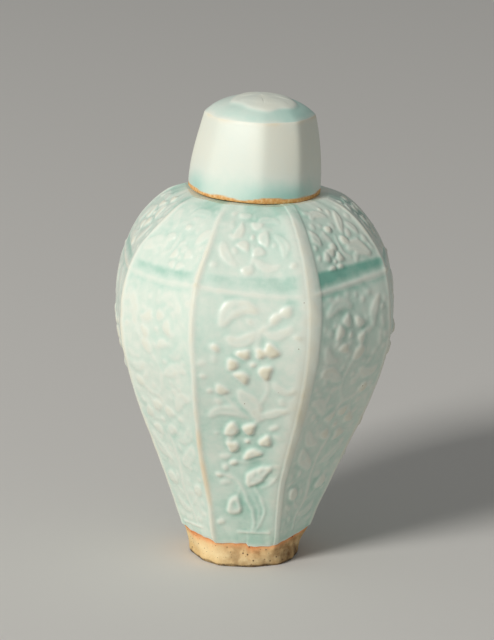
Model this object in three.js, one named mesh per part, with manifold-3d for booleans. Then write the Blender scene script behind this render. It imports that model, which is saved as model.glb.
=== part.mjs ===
// Covered vase: a moulded octagonal porcelain vase on a bare foot, with a cup-shaped cover over its neck.
// Millimetres, +Z up. The origin is the middle of the foot, on the surface that the vase stands on.
// The potter luted the vase from moulded sections: the lower body, the shoulder and the neck.

import * as THREE from "three";
import { mergeVertices } from "three/addons/utils/BufferGeometryUtils.js";
import Module from "manifold-3d";

// Vase outline. Half-widths are measured to the middle of a flat side, not to a corner.
const footHalfWidth = 29.2;
const footBevel = 1.6;
const footHeight = 13;
const footTopHalfWidth = 31.6;
const lowerFlareAngle = 19.4;
const lowerFlareReach = 73.5;
const bellyReach = 29.4;
const widestHalfWidth = 73.2;
const beltHeight = 162.6;
const widestBelowBelt = 26.3;
const widestHeight = beltHeight - widestBelowBelt;
const shoulderRise = 36.75;
const shoulderReach = 26.9;
const shoulderFall = 6.8;
const shoulderFallReach = 20.4;
const seatHeight = beltHeight + shoulderRise;
const seatHalfWidth = 37.2;
const jointAboveBelt = 3.9;
const jointHeight = beltHeight + jointAboveBelt;

// Corners: roundness runs from 0, an octagon, to 1, a circle whose radius is the half-width times roundReach.
const roundReach = 1.03;
const footRoundness = 0.85;
const footRingRoundness = 0.95;
const seatRoundness = 0.35;
const seatBlend = 9;
const insideRoundness = 0.25;

// Walls and the underside of the foot
const wallThickness = 5;
const shoulderThickness = 5;
const floorThickness = 7;
const footRingWidth = 7;
const footRecess = 2.2;
const footRecessSlope = 1.5;

// Raised frame of the panels: a rib on each corner and a belt round the shoulder
const ribHeight = 1.1;
const ribHalfWidth = 2.3;
const ribFlankPlace = 0.5;
const ribFlankRise = 0.7;
const ribWidestShare = 0.45;
const ribFootFade = 8;
const ribSeatFade = 6;
const beltRise = 0.9;
const beltHalfDepth = 2.2;
const skirtingHeight = 20.6;
const skirtingHalfDepth = 1.5;
const skirtingRise = 0.6;

// Relief: flowers, leaves, buds and stems, which root in the wall and stand proud of the panels
const reliefRise = 1.9;
const reliefRoot = 1.5;
const reliefBevel = 0.5;
const petals = 5;
const blossomReach = widestHalfWidth * 0.15;
const blossomNotch = 0.62;
const petalShoulder = 0.2;
const leafLength = widestHalfWidth * 0.27;
const leafWidth = leafLength * 0.34;
const leafFullness = 0.8;

// Neck
const mouthRadius = 19.5;
const neckRootRadius = 24.5;
const neckWaistRadius = 22.8;
const lipRadius = 26;
const lipDepth = 4;
const neckHeight = 24;

// Cover, which turns freely on the round neck and is drawn as it was photographed
const coverTurn = 22.5;
const coverGap = 0.3;
const coverHeight = 50.35;
const coverCrownHeight = 9.6;
const coverRimHalfWidth = 33.9;
const coverCrownHalfWidth = 28.1;
const coverSideBulge = 1.1;
const coverWall = 3.8;
const coverRoof = 5.5;
const coverRimBevel = 0.9;
const coverArris = 0.8;
const coverRimRoundness = 0.6;
const coverCrownRoundness = 0.3;
const coverTopRoundness = 0.9;
const coverInsideRoundness = 0.8;
const medallionReach = 15;
const medallionRise = 0.9;
const medallionPlace = new THREE.Vector2(2, -4);

const sides = 8;
const halfSide = Math.PI / sides;
const neckSides = 36;
const lowerLevels = 7;
const shoulderLevels = 7;
const coverLevels = 6;
const degrees = Math.PI / 180;

const wasm = await Module();
wasm.setup();

const glaze = new THREE.MeshStandardMaterial({ color: 0xc9ddd0, roughness: 0.22, metalness: 0 });
const thinGlaze = new THREE.MeshStandardMaterial({ color: 0xdfe4d6, roughness: 0.25, metalness: 0 });

const mix = (a, b, t) => a + (b - a) * t;
const clamp01 = (t) => Math.min(1, Math.max(0, t));
const smooth = (t) => clamp01(t) ** 2 * (3 - 2 * clamp01(t));

// Points [halfWidth, height] of the vase's outline, set in from the outer face by inset.
function lowerCurve(inset) {
  const flare = lowerFlareAngle * degrees;
  return new THREE.CubicBezierCurve(
    new THREE.Vector2(footTopHalfWidth - inset, footHeight),
    new THREE.Vector2(
      footTopHalfWidth - inset + lowerFlareReach * Math.sin(flare),
      footHeight + lowerFlareReach * Math.cos(flare),
    ),
    new THREE.Vector2(widestHalfWidth - inset, widestHeight - bellyReach),
    new THREE.Vector2(widestHalfWidth - inset, widestHeight),
  );
}

function upperCurve(inset) {
  return new THREE.CubicBezierCurve(
    new THREE.Vector2(widestHalfWidth - inset, widestHeight),
    new THREE.Vector2(widestHalfWidth - inset, widestHeight + shoulderReach),
    new THREE.Vector2(seatHalfWidth + shoulderFallReach - inset, seatHeight - shoulderFall - inset),
    new THREE.Vector2(seatHalfWidth, seatHeight - inset),
  );
}

// The whole wall above the foot. A place on it is a share of its length.
const slope = new THREE.CurvePath();
slope.add(lowerCurve(0));
slope.add(upperCurve(0));

// The height at which a curve is cut: the parameter where a rising curve reaches it.
function parameterAt(curve, height) {
  let low = 0;
  let high = 1;
  for (let step = 0; step < 40; step += 1) {
    const middle = (low + high) / 2;
    if (curve.getPoint(middle).y < height) low = middle;
    else high = middle;
  }
  return (low + high) / 2;
}

// Evenly spaced points of a curve between two of its parameters.
function pointsBetween(curve, from, to, count) {
  return Array.from({ length: count + 1 }, (_, i) => curve.getPoint(mix(from, to, i / count)));
}

// One level of an octagonal wall. Each side has five points: its corner, and both flanks of a rib. The rib
// stands proud of the side by rise.
function octagonRing({ halfWidth, height, rise = 0, roundness = 0, turn = 0 }) {
  const ring = [];
  const halfLength = halfWidth * Math.tan(halfSide);
  const ribEdge = halfLength - Math.min(ribHalfWidth, halfLength * ribWidestShare);
  const ribFlank = mix(ribEdge, halfLength, ribFlankPlace);
  const stations = [
    [-halfLength, rise],
    [-ribFlank, rise * ribFlankRise],
    [-ribEdge, 0],
    [ribEdge, 0],
    [ribFlank, rise * ribFlankRise],
  ];
  for (let side = 0; side < sides; side += 1) {
    const facing = side * 2 * halfSide + turn * degrees;
    for (const [along, lift] of stations) {
      const angle = Math.atan2(along, halfWidth);
      const radius = mix(Math.hypot(along, halfWidth), halfWidth * roundReach, roundness) + lift;
      const bearing = facing + angle;
      ring.push(new THREE.Vector3(radius * Math.sin(bearing), -radius * Math.cos(bearing), height));
    }
  }
  return ring;
}

function circleRing(radius, height) {
  return Array.from({ length: neckSides }, (_, i) => {
    const bearing = (i / neckSides) * 2 * Math.PI - halfSide;
    return new THREE.Vector3(radius * Math.sin(bearing), -radius * Math.cos(bearing), height);
  });
}

// A closed body through rings of equal length, outer face first. With caps it starts and ends on the axis;
// without them the last ring joins the first, as a tube's wall does.
function loft(rings, capped) {
  const count = rings[0].length;
  const corners = rings.flat();
  const faces = [];
  const bands = capped ? rings.length - 1 : rings.length;
  for (let band = 0; band < bands; band += 1) {
    const here = band * count;
    const next = ((band + 1) % rings.length) * count;
    for (let i = 0; i < count; i += 1) {
      const j = (i + 1) % count;
      faces.push(here + i, here + j, next + j, here + i, next + j, next + i);
    }
  }
  if (capped) {
    const first = corners.push(new THREE.Vector3(0, 0, rings[0][0].z)) - 1;
    const last = corners.push(new THREE.Vector3(0, 0, rings.at(-1)[0].z)) - 1;
    const top = (rings.length - 1) * count;
    for (let i = 0; i < count; i += 1) {
      const j = (i + 1) % count;
      faces.push(first, j, i, last, top + i, top + j);
    }
  }
  const geometry = new THREE.BufferGeometry().setFromPoints(corners);
  geometry.setIndex(faces);
  geometry.computeVertexNormals();
  return geometry;
}

// How far a rib stands proud at a height: it dies out into the foot and under the cover.
function ribRise(height) {
  const fromFoot = smooth((height - footHeight) / ribFootFade);
  const fromSeat = smooth((seatHeight - height) / ribSeatFade);
  return ribHeight * fromFoot * fromSeat;
}

// The raised belt and the skirting above the foot, as an addition to the half-width.
function mouldingRise(height) {
  const belt = beltRise * smooth(1 - Math.abs(height - beltHeight) / beltHalfDepth);
  const skirting = skirtingRise * smooth(1 - Math.abs(height - skirtingHeight) / skirtingHalfDepth);
  return belt + skirting;
}

function outerLevel(point) {
  const towardsSeat = smooth((point.y - seatHeight + seatBlend) / seatBlend);
  const towardsFoot = 1 - smooth((point.y - footBevel) / (skirtingHeight - footBevel));
  return octagonRing({
    halfWidth: point.x + mouldingRise(point.y),
    height: point.y,
    rise: ribRise(point.y),
    roundness: Math.max(towardsSeat * seatRoundness, towardsFoot * footRoundness),
  });
}

function innerLevel(point) {
  return octagonRing({ halfWidth: point.x, height: point.y, roundness: insideRoundness });
}

// Heights of the rings that shape a moulding which is centred on a level.
function mouldingHeights(level, halfDepth) {
  return [level - halfDepth, level - halfDepth * 0.5, level, level + halfDepth * 0.5, level + halfDepth];
}

function outlineAt(curve, height) {
  return new THREE.Vector2(curve.getPoint(parameterAt(curve, height)).x, height);
}

function solidOf(geometry) {
  const bare = geometry.clone();
  bare.deleteAttribute("normal");
  bare.deleteAttribute("uv");
  const merged = mergeVertices(bare);
  return new wasm.Manifold(
    new wasm.Mesh({
      numProp: 3,
      vertProperties: new Float32Array(merged.attributes.position.array),
      triVerts: new Uint32Array(merged.index.array),
    }),
  );
}

function joinAll(body, additions) {
  const whole = additions.reduce((sum, form) => sum.add(solidOf(form)), solidOf(body)).getMesh();
  const geometry = new THREE.BufferGeometry();
  geometry.setAttribute("position", new THREE.BufferAttribute(whole.vertProperties, 3));
  geometry.setIndex(new THREE.BufferAttribute(whole.triVerts, 1));
  geometry.computeVertexNormals();
  return geometry;
}

// Outlines of the relief's forms. Their sizes are multiples of the standard leaf and blossom.
function leafOutline({ long = 1, wide = 1, bend = 0, stations = 3 }) {
  const edge = (t, hand) => {
    const swell = 0.5 * leafWidth * wide * Math.sin(Math.PI * t) ** leafFullness;
    const lift = bend * leafLength * long * (1 - (2 * t - 1) ** 2);
    return new THREE.Vector2(leafLength * long * (t - 0.5), lift + hand * swell);
  };
  const shares = Array.from({ length: stations }, (_, i) => i / stations);
  return [...shares.map((t) => edge(t, -1)), ...shares.map((t) => edge(1 - t, 1))];
}

function budOutline({ long = 0.45, wide = 0.9 }) {
  return leafOutline({ long, wide });
}

function stemOutline({ long = 1.4, wide = 0.4, bend = 0 }) {
  return leafOutline({ long, wide, bend, stations: 4 });
}

function blossomOutline({ size = 1 }) {
  const corners = [
    [0, blossomNotch],
    [petalShoulder, 1],
    [1 - petalShoulder, 1],
  ];
  return Array.from({ length: petals }, (_, petal) =>
    corners.map(([turn, reach]) => {
      const angle = ((petal + turn) / petals) * 2 * Math.PI;
      return new THREE.Vector2(Math.cos(angle), Math.sin(angle)).multiplyScalar(blossomReach * size * reach);
    }),
  ).flat();
}

// A flat form with a bevelled top edge. It lies in the plane of x and y and rises along z from its root.
function raisedForm(outline, rise = reliefRise) {
  const geometry = new THREE.ExtrudeGeometry(new THREE.Shape(outline), {
    depth: rise + reliefRoot - 2 * reliefBevel,
    bevelThickness: reliefBevel,
    bevelSize: reliefBevel,
    bevelOffset: -reliefBevel,
    bevelSegments: 1,
  });
  return geometry.translate(0, 0, reliefBevel - reliefRoot);
}

// Bends a form onto a panel of the vase: x runs across the panel, y up its slope and z out of the wall.
function ontoPanel(geometry, side, across, up, low, high) {
  const centre = mix(parameterAt(slope, low), parameterAt(slope, high), up);
  const aside = across * slope.getPoint(centre).x * Math.tan(halfSide);
  const facing = side * 2 * halfSide;
  const spot = geometry.attributes.position;
  for (let i = 0; i < spot.count; i += 1) {
    const t = centre + spot.getY(i) / slope.getLength();
    const foot = slope.getPoint(t);
    const rising = slope.getTangent(t);
    const out = foot.x + rising.y * spot.getZ(i);
    const height = foot.y - rising.x * spot.getZ(i);
    const x = aside + spot.getX(i);
    const right = x * Math.cos(facing) + out * Math.sin(facing);
    const back = x * Math.sin(facing) - out * Math.cos(facing);
    spot.setXYZ(i, right, back, height);
  }
  return geometry;
}

// The sprays that the moulds carried. across runs from rib to rib of a panel, -1 to 1, up runs up it, 0 to 1,
// and turn is in degrees from level.
const lowerSprayA = [
  { outline: blossomOutline, across: 0.05, up: 0.735, turn: 8 },
  { outline: blossomOutline, across: 0.06, up: 0.414, turn: -12 },
  { outline: leafOutline, across: -0.4, up: 0.53, turn: 2, bend: 0.16 },
  { outline: leafOutline, across: 0.56, up: 0.53, turn: 20, wide: 0.85, bend: 0.08 },
  { outline: leafOutline, across: 0.02, up: 0.575, turn: -59, wide: 1.2 },
  { outline: leafOutline, across: 0.42, up: 0.26, turn: 44, long: 0.9, wide: 1.3 },
  { outline: budOutline, across: -0.29, up: 0.126, turn: 78, long: 0.56, wide: 1.1 },
  { outline: leafOutline, across: -0.25, up: 0.9, turn: 20, wide: 1.3, bend: 0.2 },
  { outline: stemOutline, across: 0.1, up: 0.12, turn: -77, long: 1.5, bend: 0.07 },
  { outline: stemOutline, across: 0.42, up: 0.12, turn: 88, long: 1.25, bend: -0.14 },
];
const lowerSprayB = [
  { outline: blossomOutline, across: -0.03, up: 0.822, turn: 20, size: 0.95 },
  { outline: blossomOutline, across: 0.18, up: 0.456, turn: 0, size: 0.95 },
  { outline: leafOutline, across: -0.4, up: 0.68, turn: -14, long: 0.9, bend: 0.1 },
  { outline: leafOutline, across: -0.34, up: 0.925, turn: 12, bend: 0.18 },
  { outline: leafOutline, across: 0.62, up: 0.87, turn: -70, long: 0.9, bend: -0.1 },
  { outline: leafOutline, across: -0.54, up: 0.545, turn: -36, long: 0.8, bend: 0.12 },
  { outline: leafOutline, across: -0.42, up: 0.32, turn: -52, wide: 1.1 },
  { outline: leafOutline, across: 0.52, up: 0.33, turn: 50, bend: -0.05 },
  { outline: stemOutline, across: 0.06, up: 0.2, turn: 86, long: 2.6, bend: 0.03 },
  { outline: budOutline, across: -0.5, up: 0.165, turn: 110 },
];
const shoulderSprayA = [
  { outline: blossomOutline, across: -0.07, up: 0.56, turn: 14, size: 0.85 },
  { outline: leafOutline, across: 0.62, up: 0.47, turn: -70, long: 0.7, wide: 0.75, bend: 0.12 },
  { outline: leafOutline, across: -0.62, up: 0.38, turn: -60, long: 0.75, wide: 0.75, bend: -0.14 },
  { outline: budOutline, across: -0.11, up: 0.22, turn: 20, wide: 0.75 },
  { outline: leafOutline, across: 0.34, up: 0.25, turn: -12, long: 0.7, wide: 0.75, bend: -0.1 },
];
const shoulderSprayB = [
  { outline: blossomOutline, across: -0.25, up: 0.28, turn: 0, size: 0.72 },
  { outline: leafOutline, across: 0.52, up: 0.33, turn: -14, long: 0.8, wide: 1.2, bend: 0.14 },
  { outline: leafOutline, across: -0.68, up: 0.55, turn: -57, long: 0.65, wide: 0.8 },
  { outline: leafOutline, across: 0.44, up: 0.67, turn: 73, long: 0.8, wide: 0.75 },
  { outline: leafOutline, across: -0.16, up: 0.8, turn: 0, long: 0.6, wide: 0.75, bend: 0.16 },
];

// One spray on one side, turned over where hand is -1.
function sprayOn(side, spray, hand, low, high) {
  return spray.map(({ outline, across, up, turn, ...sizes }) => {
    const form = raisedForm(outline(sizes)).rotateZ(hand * turn * degrees);
    return ontoPanel(form, side, hand * across, up, low, high);
  });
}

// The moulds alternate round the vase, and each second pair is turned over.
function reliefAllRound(sprays, low, high) {
  return Array.from({ length: sides }, (_, side) => {
    const hand = side % 4 < 2 ? 1 : -1;
    return sprayOn(side, sprays[side % 2], hand, low, high);
  }).flat();
}

// Lower body: the foot, the floor and the flaring wall with its belt, up to where the shoulder is luted on.
function lowerBody() {
  const outer = lowerCurve(0);
  const upper = upperCurve(0);
  const innerUpper = upperCurve(wallThickness);
  const ringInner = footHalfWidth - footRingWidth;
  const floorHeight = footRecess + floorThickness;
  const firstHeight = skirtingHeight + 3 * skirtingHalfDepth;
  const heights = [
    ...mouldingHeights(skirtingHeight, skirtingHalfDepth),
    ...Array.from({ length: lowerLevels + 1 }, (_, i) => mix(firstHeight, widestHeight, i / lowerLevels)),
  ];
  const underBelt = pointsBetween(upper, 0, parameterAt(upper, beltHeight - beltHalfDepth), 3).slice(1, 3);
  const belt = [...mouldingHeights(beltHeight, beltHalfDepth), jointHeight];
  const inside = [
    ...pointsBetween(lowerCurve(wallThickness), 0, 1, 6),
    ...pointsBetween(innerUpper, 0, parameterAt(innerUpper, jointHeight), 3).slice(1, 3),
  ];
  const rings = [
    octagonRing({ halfWidth: ringInner - footRecessSlope, height: footRecess, roundness: footRingRoundness }),
    octagonRing({ halfWidth: ringInner, height: 0, roundness: footRingRoundness }),
    outerLevel(new THREE.Vector2(footHalfWidth - footBevel, 0)),
    outerLevel(new THREE.Vector2(footHalfWidth, footBevel)),
    outerLevel(new THREE.Vector2(footTopHalfWidth, footHeight)),
    ...heights.map((height) => outerLevel(outlineAt(outer, height))),
    ...underBelt.map(outerLevel),
    ...belt.map((height) => outerLevel(outlineAt(upper, height))),
    innerLevel(outlineAt(innerUpper, jointHeight)),
    ...inside.reverse().map(innerLevel),
    innerLevel(new THREE.Vector2(footTopHalfWidth - wallThickness - footRecessSlope, floorHeight)),
  ];
  const relief = reliefAllRound([lowerSprayA, lowerSprayB], skirtingHeight, beltHeight);
  return joinAll(loft(rings, true), relief);
}

// Shoulder: it curves in from above the belt to the seat of the cover, round the foot of the neck.
function shoulder() {
  const outer = upperCurve(0);
  const inner = upperCurve(wallThickness);
  const bore = { halfWidth: mouthRadius / roundReach, roundness: 1 };
  const rings = [
    ...pointsBetween(outer, parameterAt(outer, jointHeight), 1, shoulderLevels).map(outerLevel),
    octagonRing({ ...bore, height: seatHeight }),
    octagonRing({ ...bore, height: seatHeight - shoulderThickness }),
    ...pointsBetween(inner, parameterAt(inner, jointHeight), 1, 4).reverse().map(innerLevel),
  ];
  const relief = reliefAllRound([shoulderSprayA, shoulderSprayB], beltHeight, seatHeight);
  return joinAll(loft(rings, false), relief);
}

// Neck: a thrown ring with a rolled lip, luted on the seat.
function neck() {
  const top = seatHeight + neckHeight;
  const rolledEdge = lipDepth * 0.3;
  const outline = [
    [mouthRadius, seatHeight],
    [neckRootRadius, seatHeight],
    [mix(neckRootRadius, neckWaistRadius, 0.75), seatHeight + neckHeight * 0.14],
    [neckWaistRadius, seatHeight + neckHeight * 0.36],
    [neckWaistRadius, top - lipDepth * 2],
    [mix(neckWaistRadius, lipRadius, 0.6), top - lipDepth * 1.2],
    [lipRadius, top - lipDepth * 0.75],
    [lipRadius, top - rolledEdge],
    [lipRadius - rolledEdge, top],
    [mouthRadius + rolledEdge, top],
    [mouthRadius, top - rolledEdge],
  ];
  const rings = outline.map(([radius, height]) => circleRing(radius, height));
  return loft(rings, false);
}

// The dome of the cover, from its edge to its top.
function domeCurve(crown, apex) {
  return new THREE.CubicBezierCurve(
    new THREE.Vector2(coverCrownHalfWidth - coverArris, crown + coverArris * 0.4),
    new THREE.Vector2(coverCrownHalfWidth * 0.83, mix(crown, apex, 0.67)),
    new THREE.Vector2(coverCrownHalfWidth * 0.48, apex - 0.5),
    new THREE.Vector2(coverCrownHalfWidth * 0.1, apex),
  );
}

// The raised flower on the crown: a form that lies on the dome.
function medallion(dome) {
  const size = medallionReach / blossomReach;
  const geometry = raisedForm(blossomOutline({ size }), medallionRise);
  geometry.translate(medallionPlace.x, medallionPlace.y, 0);
  const spot = geometry.attributes.position;
  const levels = dome.getPoints(60).reverse();
  for (let i = 0; i < spot.count; i += 1) {
    const reach = Math.hypot(spot.getX(i), spot.getY(i));
    const under = levels.find((point) => point.x >= reach) ?? levels.at(-1);
    spot.setZ(i, spot.getZ(i) + under.y);
  }
  return geometry;
}

// Cover: a deep octagonal cup, upside down, with a low domed crown.
function cover() {
  const rim = seatHeight + coverGap;
  const crown = rim + coverHeight - coverCrownHeight;
  const apex = rim + coverHeight;
  const side = new THREE.QuadraticBezierCurve(
    new THREE.Vector2(coverRimHalfWidth, rim + coverRimBevel),
    new THREE.Vector2(coverRimHalfWidth + coverSideBulge, mix(rim, crown, 0.55)),
    new THREE.Vector2(coverCrownHalfWidth, crown - coverArris),
  );
  const dome = domeCurve(crown, apex);
  const roofEdge = crown - coverRoof * 0.6;
  const roofTop = apex - coverRoof;
  const arrisInset = coverArris * 0.3;
  const sideRoundness = (i) => mix(coverRimRoundness, coverCrownRoundness, i / coverLevels);
  const domeRoundness = (i) => mix(coverCrownRoundness, coverTopRoundness, i / coverLevels);
  const level = (point, roundness) =>
    octagonRing({ halfWidth: point.x, height: point.y, roundness, turn: coverTurn });
  const inside = [
    new THREE.Vector2(coverCrownHalfWidth * 0.35, roofTop - 0.5),
    new THREE.Vector2(coverCrownHalfWidth - coverWall - 3, mix(roofEdge, roofTop, 0.45)),
    new THREE.Vector2(coverCrownHalfWidth - coverWall, roofEdge),
    new THREE.Vector2(coverRimHalfWidth - coverWall, mix(rim, crown, 0.3)),
    new THREE.Vector2(coverRimHalfWidth - coverWall, rim),
  ];
  const rings = [
    ...inside.map((point) => level(point, coverInsideRoundness)),
    level(new THREE.Vector2(coverRimHalfWidth - coverRimBevel, rim), coverRimRoundness),
    ...side.getPoints(coverLevels).map((point, i) => level(point, sideRoundness(i))),
    level(new THREE.Vector2(coverCrownHalfWidth - arrisInset, crown - arrisInset), coverCrownRoundness),
    ...dome.getPoints(coverLevels).map((point, i) => level(point, domeRoundness(i))),
  ];
  return joinAll(loft(rings, true), [medallion(dome)]);
}

function piece(name, geometry, material) {
  const mesh = new THREE.Mesh(geometry, material);
  mesh.name = name;
  return mesh;
}

const vase = new THREE.Group();
vase.add(
  piece("lower_body", lowerBody(), glaze),
  piece("shoulder", shoulder(), glaze),
  piece("neck", neck(), glaze),
  piece("cover", cover(), thinGlaze),
);

export default vase;
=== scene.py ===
# A covered vase of moulded porcelain: relief panels under a pale blue-green glaze, a bare foot and a cover
# that lifts off. The frame gives the sizes. Sizes here are in millimetres, and the meshes are in metres.
import math

import bmesh
import bpy
import numpy as np
from mathutils import Matrix, Vector


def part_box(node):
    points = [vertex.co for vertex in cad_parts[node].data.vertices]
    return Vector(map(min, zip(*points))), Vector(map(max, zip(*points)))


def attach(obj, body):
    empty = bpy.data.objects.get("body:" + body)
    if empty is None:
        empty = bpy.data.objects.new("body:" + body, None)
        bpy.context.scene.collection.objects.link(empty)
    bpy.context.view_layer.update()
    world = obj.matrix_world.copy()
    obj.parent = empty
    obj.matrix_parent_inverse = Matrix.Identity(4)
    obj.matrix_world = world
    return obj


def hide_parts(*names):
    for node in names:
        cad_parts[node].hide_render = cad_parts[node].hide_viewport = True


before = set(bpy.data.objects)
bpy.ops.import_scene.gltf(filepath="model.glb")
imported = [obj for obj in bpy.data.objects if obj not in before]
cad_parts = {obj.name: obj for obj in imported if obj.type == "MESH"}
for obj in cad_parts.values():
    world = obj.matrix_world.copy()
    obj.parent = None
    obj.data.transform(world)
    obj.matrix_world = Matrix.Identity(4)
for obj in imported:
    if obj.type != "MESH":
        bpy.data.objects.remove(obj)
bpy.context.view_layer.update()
mm = 0.001
sides = 8
turnOfSide = 2 * math.pi / sides


def heightOf(node, end):  # the lowest (0) or highest (1) level of a CAD node, in mm
    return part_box(node)[end].z / mm


# The wall's outline, to the middle of a flat side. Its handles pull the curve as a bent lath would lie.
wall = {
    "footHalfWidth": 29.8,
    "footTop": (31.5, 13.0),
    "flareHandle": (55.9, 82.3),
    "bellyHandle": (73.0, 106.9),
    "widest": (73.0, 136.3),
    "shoulderHandle": (73.0, 163.2),
    "fallHandle": (20.4, -6.8),  # from the seat's edge
    "seatHalfWidth": 37.2,
    "seatHeight": heightOf("neck", 0),
    "jointHeight": heightOf("lower_body", 1),
    "thickness": 5.0,
    "floor": 9.2,
    "sideBulge": 0.35,  # how far the middle of a flat side stands out
}

# What hand pressing did to the regular octagon: at some levels, how far each corner drifted round, in
# degrees, and how far it reaches; then the rib along it. The corners go round from the viewer's front left.
press = {
    "driftLevels": (0, 14, 30, 50, 68, 85, 118, 150, 168, 176, 184, 194),
    "drift": (
        (-6.2, -5.8, -3.6, -3.0, -3.3, -1.9, 0.0, -1.2, -1.2, 0.3, 1.0, 0.2),
        (7.4, 6.6, 1.8, -1.6, -1.2, -0.7, -0.3, 0.0, -0.2, -0.4, -0.9, -0.7),
        (2.0, 1.0, -0.5, 0.0, 0.0, 0.0, -2.0, -1.4, 2.8, 3.1, 3.0, 2.7),
        (-1.1, -1.1, -1.3, -1.4, -1.5, -1.4, -1.0, -2.5, -2.5, -1.0, -0.5, -1.2),
        (0.5, 0.5, 0.3, 0.0, -0.3, -0.5, -1.0, -1.0, -0.5, 0.0, 0.5, 0.5),
        (1.0, 1.0, 1.0, 1.0, 1.3, 1.5, 1.5, 1.5, 1.0, 0.5, 0.0, 0.0),
        (0.1, 0.2, 0.5, 0.9, 1.3, 1.5, 3.0, 2.6, 2.6, 3.2, 3.0, 4.0),
        (-1.1, -0.8, 1.4, 5.0, 5.7, 6.5, 8.0, 6.1, 5.0, 5.7, 9.5, 11.8),
    ),
    "reachLevels": (0, 14, 50, 118, 168, 184, 199),
    "reach": (
        (1.0, 1.004, 1.004, 1.004, 1.004, 1.0, 1.0),
        (1.0, 1.003, 1.003, 1.003, 1.003, 1.0, 1.0),
        (1.033, 1.035, 1.025, 1.013, 1.012, 1.0, 0.995),
        (1.0, 1.002, 1.005, 1.009, 1.019, 1.018, 1.015),
        (1.0, 1.0, 1.0, 1.0, 1.0, 1.0, 1.0),
        (1.0, 1.0, 1.0, 1.0, 1.0, 1.0, 1.0),
        (0.99, 0.99, 0.992, 0.998, 1.007, 1.018, 1.015),
        (1.011, 1.016, 1.006, 1.003, 1.005, 0.999, 0.995),
    ),
    "levelStep": 1.0,
    "kinkBlur": 4.0,
    "turnWidth": 4.0,  # how near a corner the wall's outward direction starts to turn
    "ribHalfWidth": (1.7, 6.2, 1.8, 1.7, 1.8, 1.8, 1.9, 1.6),
    "ribRise": (0.6, 0.85, 0.5, 0.7, 0.6, 0.7, 0.6, 0.6),
    "softness": (0.12, 0.95, 0.4, 0.22, 0.22, 0.22, 0.22, 0.2),  # how far each corner was worn round
}

# The body's mesh: the points across each side, and the reach in mm at which the columns lie one step apart.
bodyGrid = {"perSide": 66, "reach": 64.0}
bodyColumnStep = 2 * math.pi * bodyGrid["reach"] / (bodyGrid["perSide"] * sides)


def smooth(t):
    t = np.clip(t, 0, 1)
    return t * t * (3 - 2 * t)


def fadeIn(value, start, full):  # 0 where something starts and 1 where it shows in full, whichever is larger
    return smooth((value - start) / (full - start))


def hill(distance, width):  # 1 in the middle, falling away softly to both sides
    return np.exp(-((distance / width) ** 2))


def mix(a, b, t):
    return a + (b - a) * t


def arch(share):  # 0 at both ends of a side and 1 in its middle
    return 1 - (2 * share - 1) ** 2


def bezier(points, count=600):
    t = np.linspace(0, 1, count)[:, None]
    a, b, c, d = (np.array(p, float) for p in points)
    return (1 - t) ** 3 * a + 3 * (1 - t) ** 2 * t * b + 3 * (1 - t) * t**2 * c + t**3 * d


def wallOutline():  # rows of half-width and height, from the table to the seat
    seat = (wall["seatHalfWidth"], wall["seatHeight"])
    fall = (seat[0] + wall["fallHandle"][0], seat[1] + wall["fallHandle"][1])
    foot = np.linspace((wall["footHalfWidth"], 0), wall["footTop"], 40)
    lower = bezier((wall["footTop"], wall["flareHandle"], wall["bellyHandle"], wall["widest"]))
    upper = bezier((wall["widest"], wall["shoulderHandle"], fall, seat))
    return np.vstack((foot, lower[1:], upper[1:]))


outline = wallOutline()
outlineLength = np.concatenate(([0], np.cumsum(np.hypot(*np.diff(outline, axis=0).T))))
outlineTilt = np.arctan2(np.gradient(outline[:, 0]), np.gradient(outline[:, 1]))


def lengthAt(height):  # how far up the outline a level lies
    return np.interp(height, outline[:, 1], outlineLength)


def heightAt(length):
    return np.interp(length, outlineLength, outline[:, 1])


def blurWeights(sigma):
    reach = max(1, int(math.ceil(3 * sigma)))
    weights = np.exp(-0.5 * (np.arange(-reach, reach + 1) / sigma) ** 2)
    return reach, weights / weights.sum()


def blurRows(field, sigma):  # blurs down the columns; sigma counts rows
    reach, weights = blurWeights(sigma)
    padded = np.concatenate((np.repeat(field[:1], reach, 0), field, np.repeat(field[-1:], reach, 0)))
    return sum(w * padded[i : i + len(field)] for i, w in enumerate(weights))


def blurRound(field, sigma):  # blurs round the vase, where the last column meets the first
    reach, weights = blurWeights(sigma)
    return sum(w * np.roll(field, reach - i, axis=1) for i, w in enumerate(weights))


def soften(field, rowStep, radius):
    return blurRound(blurRows(field, radius / rowStep), radius / bodyColumnStep)


def wander(bearing, level, seed, waves=6):  # a slow unevenness of about one unit, the same on every run
    draw = np.random.default_rng(seed)
    total = 0
    for _ in range(waves):
        turns, climb = draw.integers(1, 6), draw.uniform(0.01, 0.07)
        total = total + np.sin(turns * bearing + climb * level + draw.uniform(0, 2 * math.pi))
    return total / math.sqrt(waves / 2)


def roughly(parts, bearing, up):  # parts: mm, waves round, waves up and a seed each
    return sum(rise * wander(around * bearing, upward * up, seed) for rise, around, upward, seed in parts)


def ofCorner(values, field):  # the value of the nearest corner
    return np.array(values)[field["nearest"]]


def betweenCorners(values, field):
    values = np.array(values)
    return mix(values[field["side"]], np.roll(values, -1)[field["side"]], field["share"])


def ofSide(values, field, blend=5.0):  # a value for each side that changes over softly at the corners
    here = np.array(values, float)
    before, after = np.roll(here, 1), np.roll(here, -1)
    other = np.where(field["share"] < 0.5, before[field["side"]], after[field["side"]])
    return mix(0.5 * (here[field["side"]] + other), here[field["side"]], fadeIn(field["toCorner"], 0, blend))


def pressedAt(level, corner, what):  # a corner's drift or reach at a level, evenly through its listed values
    levels = np.arange(0, 201, press["levelStep"])
    listed = np.interp(levels, press[what + "Levels"], press[what][corner])
    return np.interp(level, levels, blurRows(listed[:, None], press["kinkBlur"] / press["levelStep"])[:, 0])


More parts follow.
